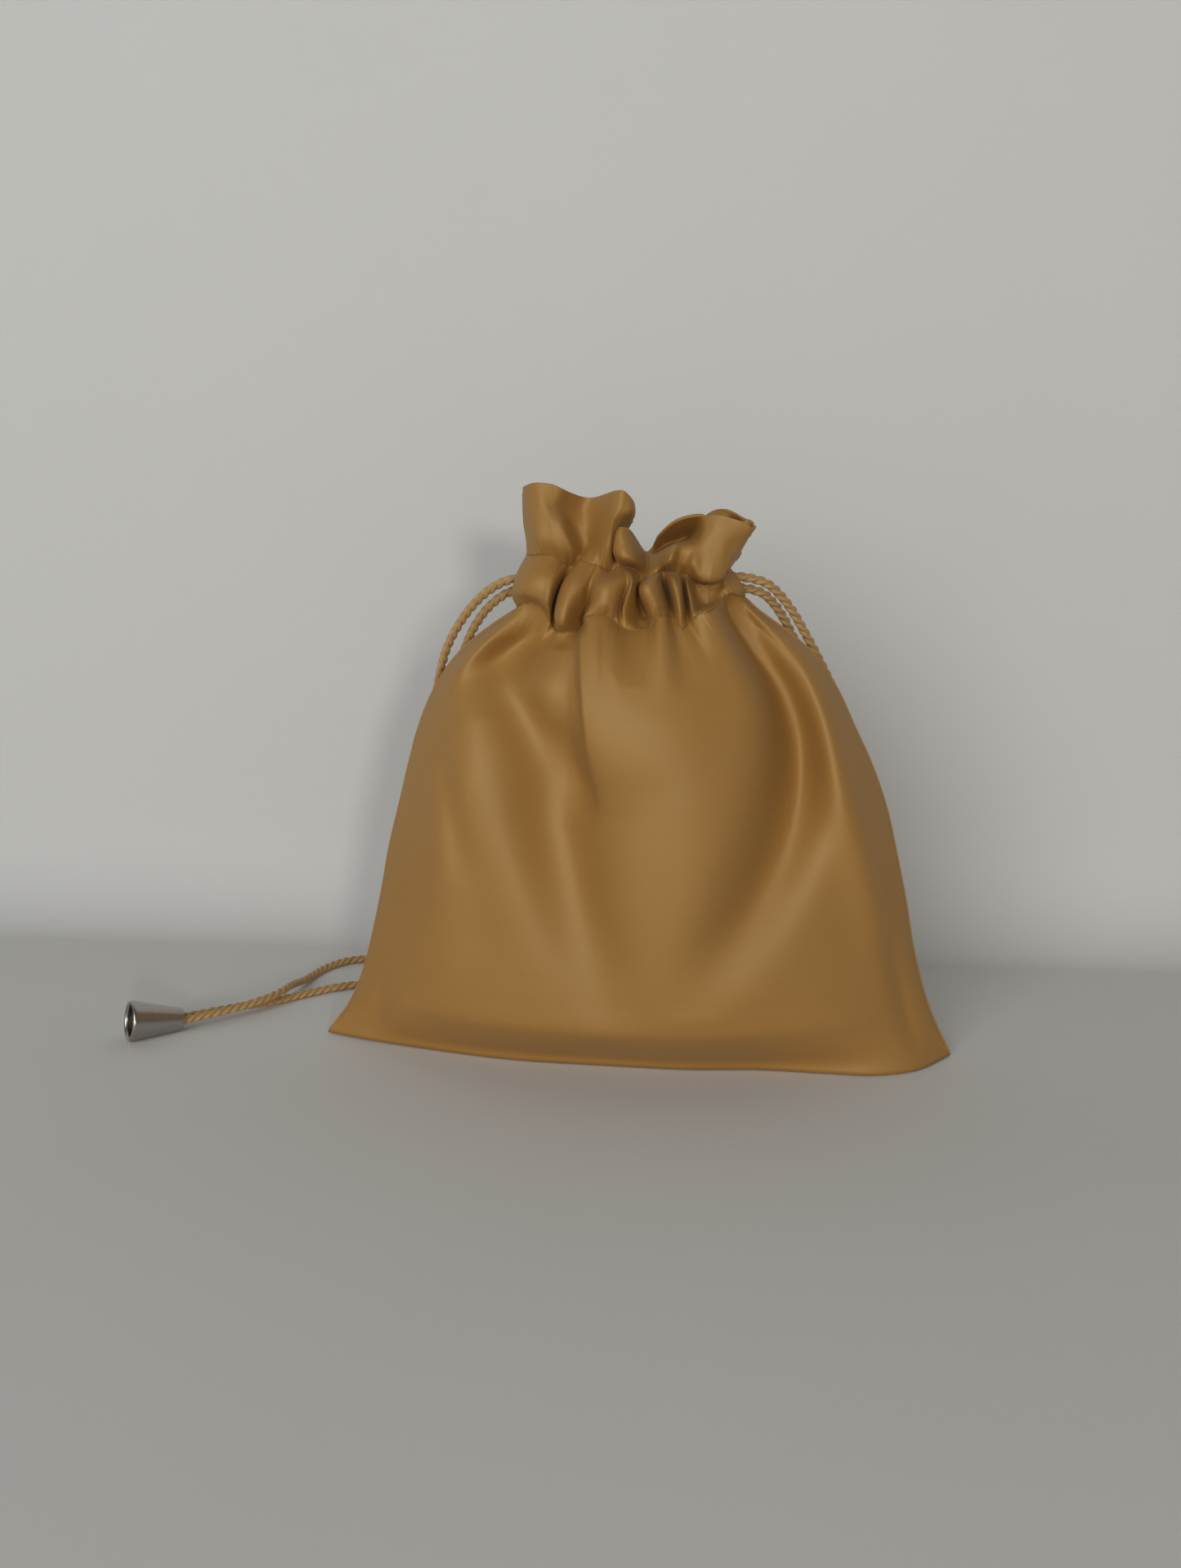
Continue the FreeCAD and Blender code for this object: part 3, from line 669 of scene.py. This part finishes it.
# The back half: an oval between the same seams with even pleats, level by level.
# depth, depth of the pleats, pleats across, shift of the pleats
BACK_LEVELS = [(24, 4.0, 7.5, 0.8), (28, 6.4, 7.5, 0.9), (28, 6.4, 7.5, 1.0), (20, 4.5, 7.5, 1.1),
               (24, 7.2, 7.0, 1.2), (25, 9.5, 6.4, 1.3), (27, 10.5, 6.0, 1.3), (28, 10.5, 5.6, 1.3)]
# How far the back half leans away, and how high it stands, at shares of its width.
LEAN_SHARES = [0, 0.12, 0.25, 0.38, 0.5, 0.62, 0.68, 0.75, 0.86, 0.93, 1]
BACK_LEAN = [0, 0, 1, 5, 7, 4, -8, -21, -16, -9, 0]
BACK_HEM_RISE = [0, -1, -3, -11, -17, -12, -3, 1.8, 0.6, 0, 0]

# Over how many mm below the stitching each line of cloth eases into the panel.
EASING_SHARES = [0, 0.15, 0.22, 0.27, 0.33, 0.355, 0.38, 0.43, 0.5,
                 0.56, 0.61, 0.66, 0.71, 0.76, 0.82, 0.9, 1]
FRONT_EASING = [14, 12, 10, 6, 4, 4, 9, 14, 18, 18, 18, 16, 16, 14, 13, 13, 14]
BACK_EASING = 16.0

# How full the lens between the seams is at each height: the power of its outline.
FULLNESS_HEIGHTS = [0, 80, 140, 176]
FULLNESS = [2.3, 2.4, 2.9, 3.4]
BASE_TURN_HEIGHT = 24
BASE_ROWS = 10

# The cloth's surfaces are lifted by this much, in mm, so that the seam clears the floor.
LIFT = 0.6
SEAM_THICKNESS = 1.1 * MM
STITCH_STANDS = 0.45        # how far the middle of a thread stands off the cloth, in mm
CASING_HALF_WIDTH = 42.5
COLUMNS = 401
MOUTH_COLUMNS, CASING_ROWS, FRILL_ROWS = 561, 72, 96
FACING_COLUMNS, FACING_ROWS = 241, 24
SHARES = np.linspace(0, 1, COLUMNS)


def strokes(x, height, side):
    """How far folds push the panel out, in mm, at each place on it.

    Each stroke is a smooth line down the panel, and adds strength times
    exp(-((x - middle) / width)^2), all of them read at the place's height.
    """
    push = np.zeros_like(x)
    for side_of, heights, line, left_width, right_width, strength in STROKES:
        if side_of != side:
            continue
        middle = through(heights, line, height)
        width = np.where(x < middle, through(heights, left_width, height),
                         through(heights, right_width, height))
        push += through(heights, strength, height) * bell_curve(x, middle, width)
    return push


# side, heights, x of the line, width to its left, width to its right, strength
STROKES = [
    # the long pleat's edge, and the hollow that it throws to its left
    (FRONT, [104, 112, 124, 138, 152, 168, 176], [-10, -11.5, -13.5, -15.2, -16.6, -17.5, -17],
     [0.9, 1.0, 1.2, 1.4, 1.5, 1.5, 1.5], [10, 14, 22, 26, 24, 20, 18], [0, 2.6, 6.0, 8.0, 8.5, 7.5, 5]),
    (FRONT, [20, 44, 72, 99, 114, 126, 138, 150, 165], [-8, -13, -20, -26, -29, -33, -39, -44, -40],
     [12, 14, 15, 15, 14, 13, 12, 11, 10], [14, 14, 13, 15, 16, 14, 12, 12, 12],
     [0, -6, -12, -16, -16, -15, -13, -8, -4]),
    (FRONT, [98, 108, 118, 128, 142, 160], [-18, -19, -20.5, -22, -23, -23],
     [9, 9, 8, 7, 6, 6], [5, 5, 4.5, 4, 4, 4], [0, -3, -6, -6, -3.5, -2]),
    (FRONT, [40, 72, 99, 120, 138, 150], [-34, -42, -51, -57, -62, -64], [15, 15, 15, 14, 12, 10],
     [12, 12, 12, 11, 10, 9], [0, 2.0, 3.5, 3.5, 3, 1.5]),
    (FRONT, [74, 90, 106, 120, 130], [-62, -64, -67, -70, -73], [5, 5, 5, 5, 5], [6, 6, 6, 6, 6],
     [0, -2.0, -2.6, -2.0, 0]),
    # the dimple where the long pleat runs out
    (FRONT, [98, 106, 113, 120, 128], [-15, -15, -15, -15.5, -16], [5, 5, 5, 4, 4], [3, 3, 3, 2.5, 2.5],
     [0, -1.6, -2.6, -1.6, 0]),
    # the round middle of the belly
    (FRONT, [20, 50, 90, 130, 160], [24, 22, 16, 13, 8], [28, 30, 28, 26, 22], [26, 28, 28, 24, 20],
     [2.5, 6.5, 8.5, 9.0, 5.5]),
    # the deep hollow under the right of the mouth and its long tail
    (FRONT, [30, 52, 71, 89, 110, 132, 148, 160, 172], [24, 35, 47, 56, 61, 60, 53, 44, 35],
     [14, 15, 15, 15, 13, 10, 7, 5, 3], [14, 14, 12, 10, 8, 8, 10, 12, 12],
     [0, -5.5, -11, -16, -20, -23, -23, -22, -18]),
    # the ridge along the right edge
    (FRONT, [20, 64, 95, 122, 146, 165], [100, 92, 82, 72, 62, 50],
     [10, 10, 9, 8, 8, 8], [12, 12, 12, 12, 12, 12], [0, 3.5, 5.5, 7.0, 7.0, 4.5]),
    # the roll over the left shoulder, the hollow under it, and the soft folds below
    (FRONT, [140, 150, 160, 168, 176], [-76, -70, -62, -54, -44], [9, 9, 9, 8, 8], [8, 8, 8, 8, 8],
     [0, 3.5, 6.5, 8, 7]),
    (FRONT, [136, 148, 157, 163, 169, 175], [-56, -53, -48, -41, -34, -30], [10, 10, 9, 9, 8, 6],
     [12, 15, 18, 17, 13, 8], [0, -5, -10.0, -11.0, -8, -3]),
    (FRONT, [20, 50, 84, 112, 134], [-74, -72, -70, -68, -68], [14, 14, 12, 11, 10], [14, 13, 12, 11, 10],
     [0, 3.0, 5.0, 4.5, 0]),
    # a soft upright crease by the right corner and short stress lines at the left edge
    (FRONT, [4, 16, 30, 46, 60], [112, 108, 104, 100, 97], [3.5, 4, 4, 4, 4], [5, 5, 5, 5, 5],
     [0, -2.6, -3.2, -2.0, 0]),
    (FRONT, [2, 10, 20, 30], [-108, -105, -101, -97], [4, 4, 4, 4], [6, 6, 6, 6], [0, -1.8, -1.8, 0]),
    # the short crease under the puff on the left
    (FRONT, [161, 164, 166.5, 170], [-26, -26, -25, -24], [8, 7, 6, 5], [6, 6, 6, 5], [0, -3.5, -4.5, 0]),
    # short gathers under the middle of the mouth
    (FRONT, [150, 158, 166, 172], [3, 2.5, 1.5, 1], [6, 5.5, 5, 4], [5, 4.5, 4, 4], [0, -2.0, -4.0, -5]),
    (FRONT, [144, 156, 168, 174], [13, 12, 10.5, 10], [5, 4, 3.5, 3], [4, 3.5, 3, 3], [0, 1.2, 2.2, 2.5]),
    (FRONT, [148, 158, 168, 174], [20, 18, 16.5, 15.5], [3.5, 3, 2.5, 2.5], [6, 5, 3, 3],
     [0, -1.6, -3.0, -3.5]),
    (FRONT, [146, 156, 166, 173], [-8.5, -9, -10, -10.5], [1.6, 1.6, 1.6, 1.6], [3, 3, 3, 3],
     [0, -0.8, -1.4, -1.5]),
    (FRONT, [140, 155, 165, 173], [-5, -5.5, -5, -5], [4, 4, 4, 3], [5, 5, 4, 4], [0, 1.0, 1.4, 1.5]),
    # folds of the back panel
    (BACK, [30, 60, 100, 140, 172], [10, 6, 2, 0, -2], [16, 16, 13, 9, 6], [16, 16, 13, 9, 6],
     [0, -3.5, -7, -9, -7]),
    (BACK, [30, 70, 110, 145, 172], [-50, -48, -42, -33, -24], [14, 14, 12, 9, 5], [14, 14, 12, 9, 5],
     [0, -4.0, -7.5, -8, -5]),
    (BACK, [40, 80, 120, 150, 172], [58, 54, 46, 34, 22], [14, 13, 11, 8, 5], [14, 13, 11, 8, 5],
     [0, -4.5, -8.0, -8, -5]),
    (BACK, [60, 90, 125, 150, 172], [-24, -22, -18, -15, -12], [9, 9, 8, 6, 4], [9, 9, 8, 6, 4],
     [0, 2.5, 4.0, 5, 3]),
    (BACK, [60, 90, 125, 150, 172], [32, 30, 24, 18, 10], [9, 9, 8, 6, 4], [9, 9, 8, 6, 4],
     [0, 2.5, 4.0, 5, 3]),
    (BACK, [110, 130, 150, 165], [-66, -62, -52, -40], [7, 7, 6, 5], [8, 8, 7, 6], [0, 3.5, 5, 3]),
    (BACK, [110, 130, 150, 165], [70, 64, 54, 40], [8, 8, 7, 6], [7, 7, 6, 5], [0, 3.5, 5, 3]),
]


def mouth_levels(side, shares):
    """Every level of the mouth as a smooth line at the given shares of the width."""
    if side == BACK:
        return back_levels(shares)
    return np.stack([[through(LINE_SHARES, places, shares) for places in level.T]
                     for level in FRONT_PLACES]).swapaxes(1, 2)


def back_levels(across):
    """The back half of every level: even pleats between the same two seams.

    An oval from seam to seam, x = c + w cos(turn), y = depth sin(turn)^0.8, with
    pleats added in y as pleat sin(phase), whose crests are rounded by moving x
    by -pleat sin(2 phase) / 4.  The pleats calm down at the seams and, towards
    the hem, in the middle and on the right.  There the hem leans as well: away in
    the middle, and in towards the front on the right.
    """
    turn = math.pi * (1 - across)
    lean = through(LEAN_SHARES, BACK_LEAN, across)
    rise = through(LEAN_SHARES, BACK_HEM_RISE, across)
    levels = []
    for number, (depth, pleat, count, shift) in enumerate(BACK_LEVELS):
        left = FRONT_PLACES[number, 0] * [1, -1, 1]
        right = FRONT_PLACES[number, -1] * [1, -1, 1]
        seam_line = left * (1 - across)[:, None] + right * across[:, None]
        spread = max(0, number - UPPER) / (HEM - UPPER)
        phase = 2 * math.pi * count * across + shift
        x = (left[0] + right[0]) / 2 + (right[0] - left[0]) / 2 * np.cos(turn)
        calm = smooth_step(0, 0.12, across) * smooth_step(0, 0.12, 1 - across)
        calm = calm * (1 - 0.96 * spread * smooth_step(0.56, 0.68, across))
        calm = calm * (1 - 0.5 * spread * bell_curve(across, 0.45, 0.14))
        x = x - 0.25 * pleat * np.sin(2 * phase) * calm
        y = seam_line[:, 1] + depth * np.sin(turn) ** 0.8
        y = y + pleat * np.sin(phase) * calm + lean * spread
        height = seam_line[:, 2] + rise * spread
        levels.append(np.stack([x, y, height], axis=-1))
    return np.stack(levels)


def puckers(shares):
    """Small uneven gathers across the width, less than half a millimetre deep.

    0.45 sin(47 w + 2.1 sin 5w) (0.6 + 0.4 sin(9w + 1)), where w is 2 pi share.
    """
    wave = 2 * math.pi * shares
    return 0.45 * np.sin(47 * wave + 2.1 * np.sin(5 * wave)) * (0.6 + 0.4 * np.sin(9 * wave + 1.0))


def mouth_surface(side, first, last, rows, columns):
    """The mouth between two of its levels, as smooth lines up through the levels.

    Next to the stitching small gathers are added, in the proportion
    exp(-s / 0.55) (1 - exp(-s / 0.1)) at s levels away from it.
    """
    levels = mouth_levels(side, np.linspace(0, 1, columns))[first:last + 1]
    count = last - first
    stops = np.linspace(0, count, rows)
    cell = np.clip(np.floor(stops).astype(int), 0, count - 1)
    t = (stops - cell)[:, None, None]
    slopes = np.gradient(levels, axis=0)
    near = np.exp(-stops / 0.55) * (1 - np.exp(-stops / 0.1))
    if last == UPPER:
        near = near + near[::-1]
    pucker = puckers(np.linspace(0, 1, columns))[None, :] * near[:, None]
    points = pucker[..., None] * [0, 1, 0.4]
    return points + hermite(levels[cell], levels[cell + 1], slopes[cell], slopes[cell + 1], t)


def panel_field(side, x, height, left, right):
    """How far the panel stands from the seam plane at a place on its front view.

    The lens bulge (1 - share^fullness)^0.8 takes over from the base's outline as
    the height grows, and the strokes are added.  A soft floor keeps the result
    above a quarter of the lens: least + (d + sqrt(d^2 + 4 edge^2)) / 2, where d is
    how far the sum stands above that floor.
    """
    heights = np.clip(height, 0, None)
    middle = (left + right) / 2
    share = np.clip(np.abs(x - middle) / ((right - left) / 2), 0, 1)
    bulge = through(BULGE_HEIGHTS, FRONT_BULGE if side == FRONT else BACK_BULGE, heights)
    fullness = through(FULLNESS_HEIGHTS, FULLNESS, heights)
    lens = bulge * (1 - share ** fullness) ** 0.8
    base_x = LEFT_SEAM[0] + (RIGHT_SEAM[0] - LEFT_SEAM[0]) * (x - left) / (right - left)
    foot = through(BASE_STATIONS, FRONT_BASE if side == FRONT else BACK_BASE, base_x)
    rise = smooth_step(0, BASE_TURN_HEIGHT, heights) ** 0.55
    edge = smooth_step(0.0, 0.16, 1 - share)
    depth = foot * (1 - rise) + lens * rise + strokes(x, heights, side) * edge
    least = 0.25 * lens
    above = depth - least
    return least + 0.5 * (above + np.sqrt(above ** 2 + 4.0 * edge ** 2))


def panel_points(side):
    """One panel in mm: the flat base from the bottom seam out, then the wall.

    Up to a little below the mouth it is a lens-shaped bulge with folds pushed
    into it; from there it eases into the lower line of stitches.
    """
    stitch = mouth_levels(side, SHARES)[LOWER]
    easing = np.full(COLUMNS, BACK_EASING)
    if side == FRONT:
        easing = through(EASING_SHARES, FRONT_EASING, SHARES)
    # The rows stand closer together in the last fifth, where the folds are small.
    climb = np.concatenate([np.linspace(0, 0.8, 84, endpoint=False), np.linspace(0.8, 1, 62)])
    height = climb[:, None] * stitch[None, :, 2]
    left = through(SEAM_HEIGHTS, LEFT_SEAM, height)
    right = through(SEAM_HEIGHTS, RIGHT_SEAM, height)
    x = left + (right - left) * SHARES[None, :]
    wall = np.stack([x, OUTWARD[side] * panel_field(side, x, height, left, right), height], axis=-1)
    below = stitch[None, :, 2] - height
    ease = smooth_step(0, 1, 1 - below / easing[None, :])[..., None]
    wall = wall * (1 - ease) + stitch[None, :, :] * ease
    gather = puckers(SHARES)[None, :] * np.exp(-below / 5.0) * (1 - np.exp(-below / 0.8))
    wall[..., 1] += 0.6 * gather
    base = wall[:1] * np.ones((BASE_ROWS, 1, 1))
    base[..., 1] *= np.linspace(0, 1, BASE_ROWS, endpoint=False)[:, None]
    return np.concatenate([base, wall])


def cloth_uv(points):
    """Distances along the cloth, in metres: across from the seam and up from the base."""
    across = np.linalg.norm(np.diff(points, axis=1), axis=-1)
    up = np.linalg.norm(np.diff(points, axis=0), axis=-1)
    u = np.concatenate([np.zeros((len(points), 1)), np.cumsum(across, axis=1)], axis=1)
    v = np.concatenate([np.zeros((1, points.shape[1])), np.cumsum(up, axis=0)], axis=0)
    return np.stack([u, v], axis=-1)


def cloth_piece(name, side, points, thickness):
    """A cloth surface in mm made into a two-sided piece that faces outwards."""
    points = (points + [0, 0, LIFT]) * MM
    if side == BACK:
        points = points[:, ::-1]
    piece = grid_piece(name, points, cloth_uv(points), SATIN)
    give_thickness(piece, thickness)
    return piece


def opens_with(piece):
    """The cloth's place baked into its mesh."""
    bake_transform(piece)


def inside(x):
    """How far from the seam plane a cord runs inside the casing, as a share: a half oval."""
    return np.sqrt(np.clip(1 - (x / CASING_HALF_WIDTH) ** 2, 0.0, 1.0))


def facing_points(side):
    """The turned-down hem inside the casing: from stitching to stitching behind the cords.

    Between the rows of stitches it hangs in 16 small pleats,
    y = 3 inside(x) + 1.2 sin(32 pi share), and smooth lines run down through them.
    """
    shares = np.linspace(0, 1, FACING_COLUMNS)
    levels = mouth_levels(side, shares)
    lower = levels[LOWER] - [0, OUTWARD[side], 0]
    upper = levels[UPPER] - [0, OUTWARD[side], 0]
    rows = []
    for share, height in ((0.35, 179.0), (0.7, 187.0)):
        row = lower * (1 - share) + upper * share
        row[:, 1] = OUTWARD[side] * (3.0 * inside(row[:, 0]) + 1.2 * np.sin(32 * math.pi * shares))
        row[:, 2] = 0.5 * row[:, 2] + 0.5 * height
        rows.append(row)
    stops = np.linspace(0, 1, FACING_ROWS)
    weights = np.stack([through([0, 0.33, 0.67, 1], one, stops) for one in np.eye(4)])
    return np.einsum("ks,kca->sca", weights, np.stack([lower, *rows, upper]))


def thread_piece(name, line, thickness, stitch):
    """A row of stitches: a thread that swells in each stitch and thins between them.

    At a distance s along the line its radius is
    r (0.25 + 0.75 sqrt(|sin(pi s / stitch)|)), and its two ends are closed.
    """
    stations, stops = even_stations(line, 0.22 * MM)
    angles = ring_angles(8)
    swell = np.abs(np.sin(math.pi * stops / stitch)) ** 0.5
    radius = thickness / 2 * (0.25 + 0.75 * swell)
    radius[[0, -1]] = 0.0
    uv = np.stack(np.broadcast_arrays(stops[:, None], angles[None, :] * thickness / 2), axis=-1)
    points = tube_points(stations, radius[:, None], angles)
    piece = grid_piece(name, points, uv, THREAD, wrap_u=True)
    return piece


def make_stitching(side):
    """The two rows of stitches that hold the casing."""
    for word, level in (("lower", LOWER), ("upper", UPPER)):
        line = mouth_levels(side, np.linspace(0, 1, 900))[level]
        line = (line + np.array([0, STITCH_STANDS * OUTWARD[side], LIFT])) * MM
        piece = thread_piece(f"{side}_{word}_thread", line, 0.42 * MM, 2.6 * MM)
        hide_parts(f"{side}_{word}_stitching")
        opens_with(piece)


def make_channel_run(word, side):
    """The part of a drawstring hidden in the casing, y = 1.2 + 6.2 inside(x) in mm."""
    label = f"{word}_drawstring_{side}_run"
    low, high = (np.array(corner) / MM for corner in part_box(label))
    turn = np.linspace(math.pi, 0, 120)
    x = (low[0] + high[0]) / 2 + (high[0] - low[0] - 0.5) / 2 * np.cos(turn)
    y = OUTWARD[side] * (1.2 + 6.2 * inside(x))
    height = np.full(len(turn), (low[2] + high[2]) / 2)
    line = np.stack([x, y, height], axis=-1) * MM
    piece, _ = rope_piece(f"{label}_rope", line, CHANNEL_DIAMETER, CORD_TWIST)
    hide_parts(label)
    opens_with(piece)


def make_edge(name, node, line):
    """A seam's rolled edge: a tube, rounded off at its ends, over the panels' join."""
    stations, stops = even_stations(line * MM, 1.0 * MM)
    angles = ring_angles(12)
    taper = np.sqrt(np.clip(np.minimum(stops, stops[-1] - stops) / (2 * MM), 0, 1))
    points = tube_points(stations, taper[:, None] * SEAM_THICKNESS / 2, angles)
    uv = np.stack(np.broadcast_arrays(stops[:, None], angles[None, :] * SEAM_THICKNESS / 2), axis=-1)
    piece = grid_piece(name, points, uv, SATIN, wrap_u=True)
    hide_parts(node)
    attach(piece, "sack")


def make_seams():
    """The two side seams and the bottom seam, along the front panel's own edges."""
    panel = panel_points(FRONT) + [0, 0.3, LIFT]
    make_edge("left_side_seam_edge", "left_side_seam", panel[BASE_ROWS:, 0])
    make_edge("right_side_seam_edge", "right_side_seam", panel[BASE_ROWS:, -1])
    make_edge("bottom_seam_edge", "bottom_seam", panel[0])


def make_half(side):
    """The panel, casing, facing and frill of the front or the back, with its stitches.

    Each part has its surface, its thickness in mm and its size laid flat.
    """
    casing = mouth_surface(side, LOWER, UPPER, CASING_ROWS, MOUTH_COLUMNS)
    frill = mouth_surface(side, UPPER, HEM, FRILL_ROWS, MOUTH_COLUMNS)
    for part, points, thickness, flat in (
            ("panel", panel_points(side), 0.5, (0.250, 0.205)),
            ("casing", casing, 0.5, (0.250, 0.021)),
            ("facing", facing_points(side), 0.4, (0.250, 0.021)),
            ("frill", frill, 0.9, (0.250, 0.026))):
        piece = cloth_piece(f"{side}_{part}_cloth", side, points, thickness * MM)
        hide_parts(f"{side}_{part}")
        if part == "panel":
            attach(piece, "sack")
        else:
            opens_with(piece)
    make_stitching(side)
    for word in BELL_PLACES:
        make_channel_run(word, side)


for side in (FRONT, BACK):
    make_half(side)
make_seams()


# ---------------------------------------------------------------- stage and light

def make_stage():
    """A pale sweep: a level floor that curves up into a wall behind.

    The bend is a quarter circle, y = bend + r sin(turn), z = r (1 - cos(turn)).
    """
    near, bend, radius, far = -2.5, 0.106, 0.05, 2.5
    turn = np.linspace(0, math.pi / 2, 48)
    y = np.concatenate([[near], bend + radius * np.sin(turn), [bend + radius]])
    z = np.concatenate([[0], radius * (1 - np.cos(turn)), [far]])
    x = np.array([-3.0, 3.0])
    points = np.stack(np.broadcast_arrays(x[None, :], y[:, None], z[:, None]), axis=-1)
    uv = points[..., :2]
    material, nodes, links, shader = new_material("pale paper")
    mottle = object_noise(nodes, links, 9.0, 3.0)
    colour = mix_colours(nodes, links, mottle.outputs["Fac"],
                         (0.65, 0.645, 0.62), (0.67, 0.665, 0.64))
    links.new(colour, shader.inputs["Base Color"])
    shader.inputs["Roughness"].default_value = 0.85
    shader.inputs["Specular IOR Level"].default_value = 0.15
    # From behind the wall the paper lets the view through.
    view = nodes.new("ShaderNodeNewGeometry")
    clear = nodes.new("ShaderNodeBsdfTransparent")
    mix = nodes.new("ShaderNodeMixShader")
    links.new(view.outputs["Backfacing"], mix.inputs["Fac"])
    links.new(shader.outputs["BSDF"], mix.inputs[1])
    links.new(clear.outputs["BSDF"], mix.inputs[2])
    links.new(mix.outputs["Shader"], nodes["Material Output"].inputs["Surface"])
    grid_piece("paper_sweep", points, uv, material)


def add_light(name, place, aim, size, power, colour):
    """A square area light aimed at a point."""
    data = bpy.data.lights.new(name, "AREA")
    data.size = size
    data.energy = power
    data.color = colour
    light = bpy.data.objects.new(name, data)
    light.location = place
    away = np.array(place) - np.array(aim)
    flat = math.hypot(away[0], away[1])
    light.rotation_euler = (math.atan2(flat, away[2]), 0, math.atan2(away[0], -away[1]))
    bpy.context.scene.collection.objects.link(light)


def make_light():
    """A broad window to the front left, a small lamp high on the right, a pale room."""
    aim = (0, 0, 0.1)
    add_light("window", (-0.7, -1.8, 0.85), aim, size=1.4, power=21.0, colour=(0.97, 0.985, 1.0))
    add_light("lamp", (0.47, -1.55, 0.345), aim, size=0.16, power=5.8, colour=(1.0, 0.97, 0.93))
    world = bpy.data.worlds.new("surround")
    world.use_nodes = True
    background = world.node_tree.nodes["Background"]
    background.inputs["Color"].default_value = (0.97, 0.97, 0.96, 1)
    background.inputs["Strength"].default_value = 0.088
    bpy.context.scene.world = world
    bpy.context.scene.view_settings.view_transform = "Standard"


make_stage()
make_light()
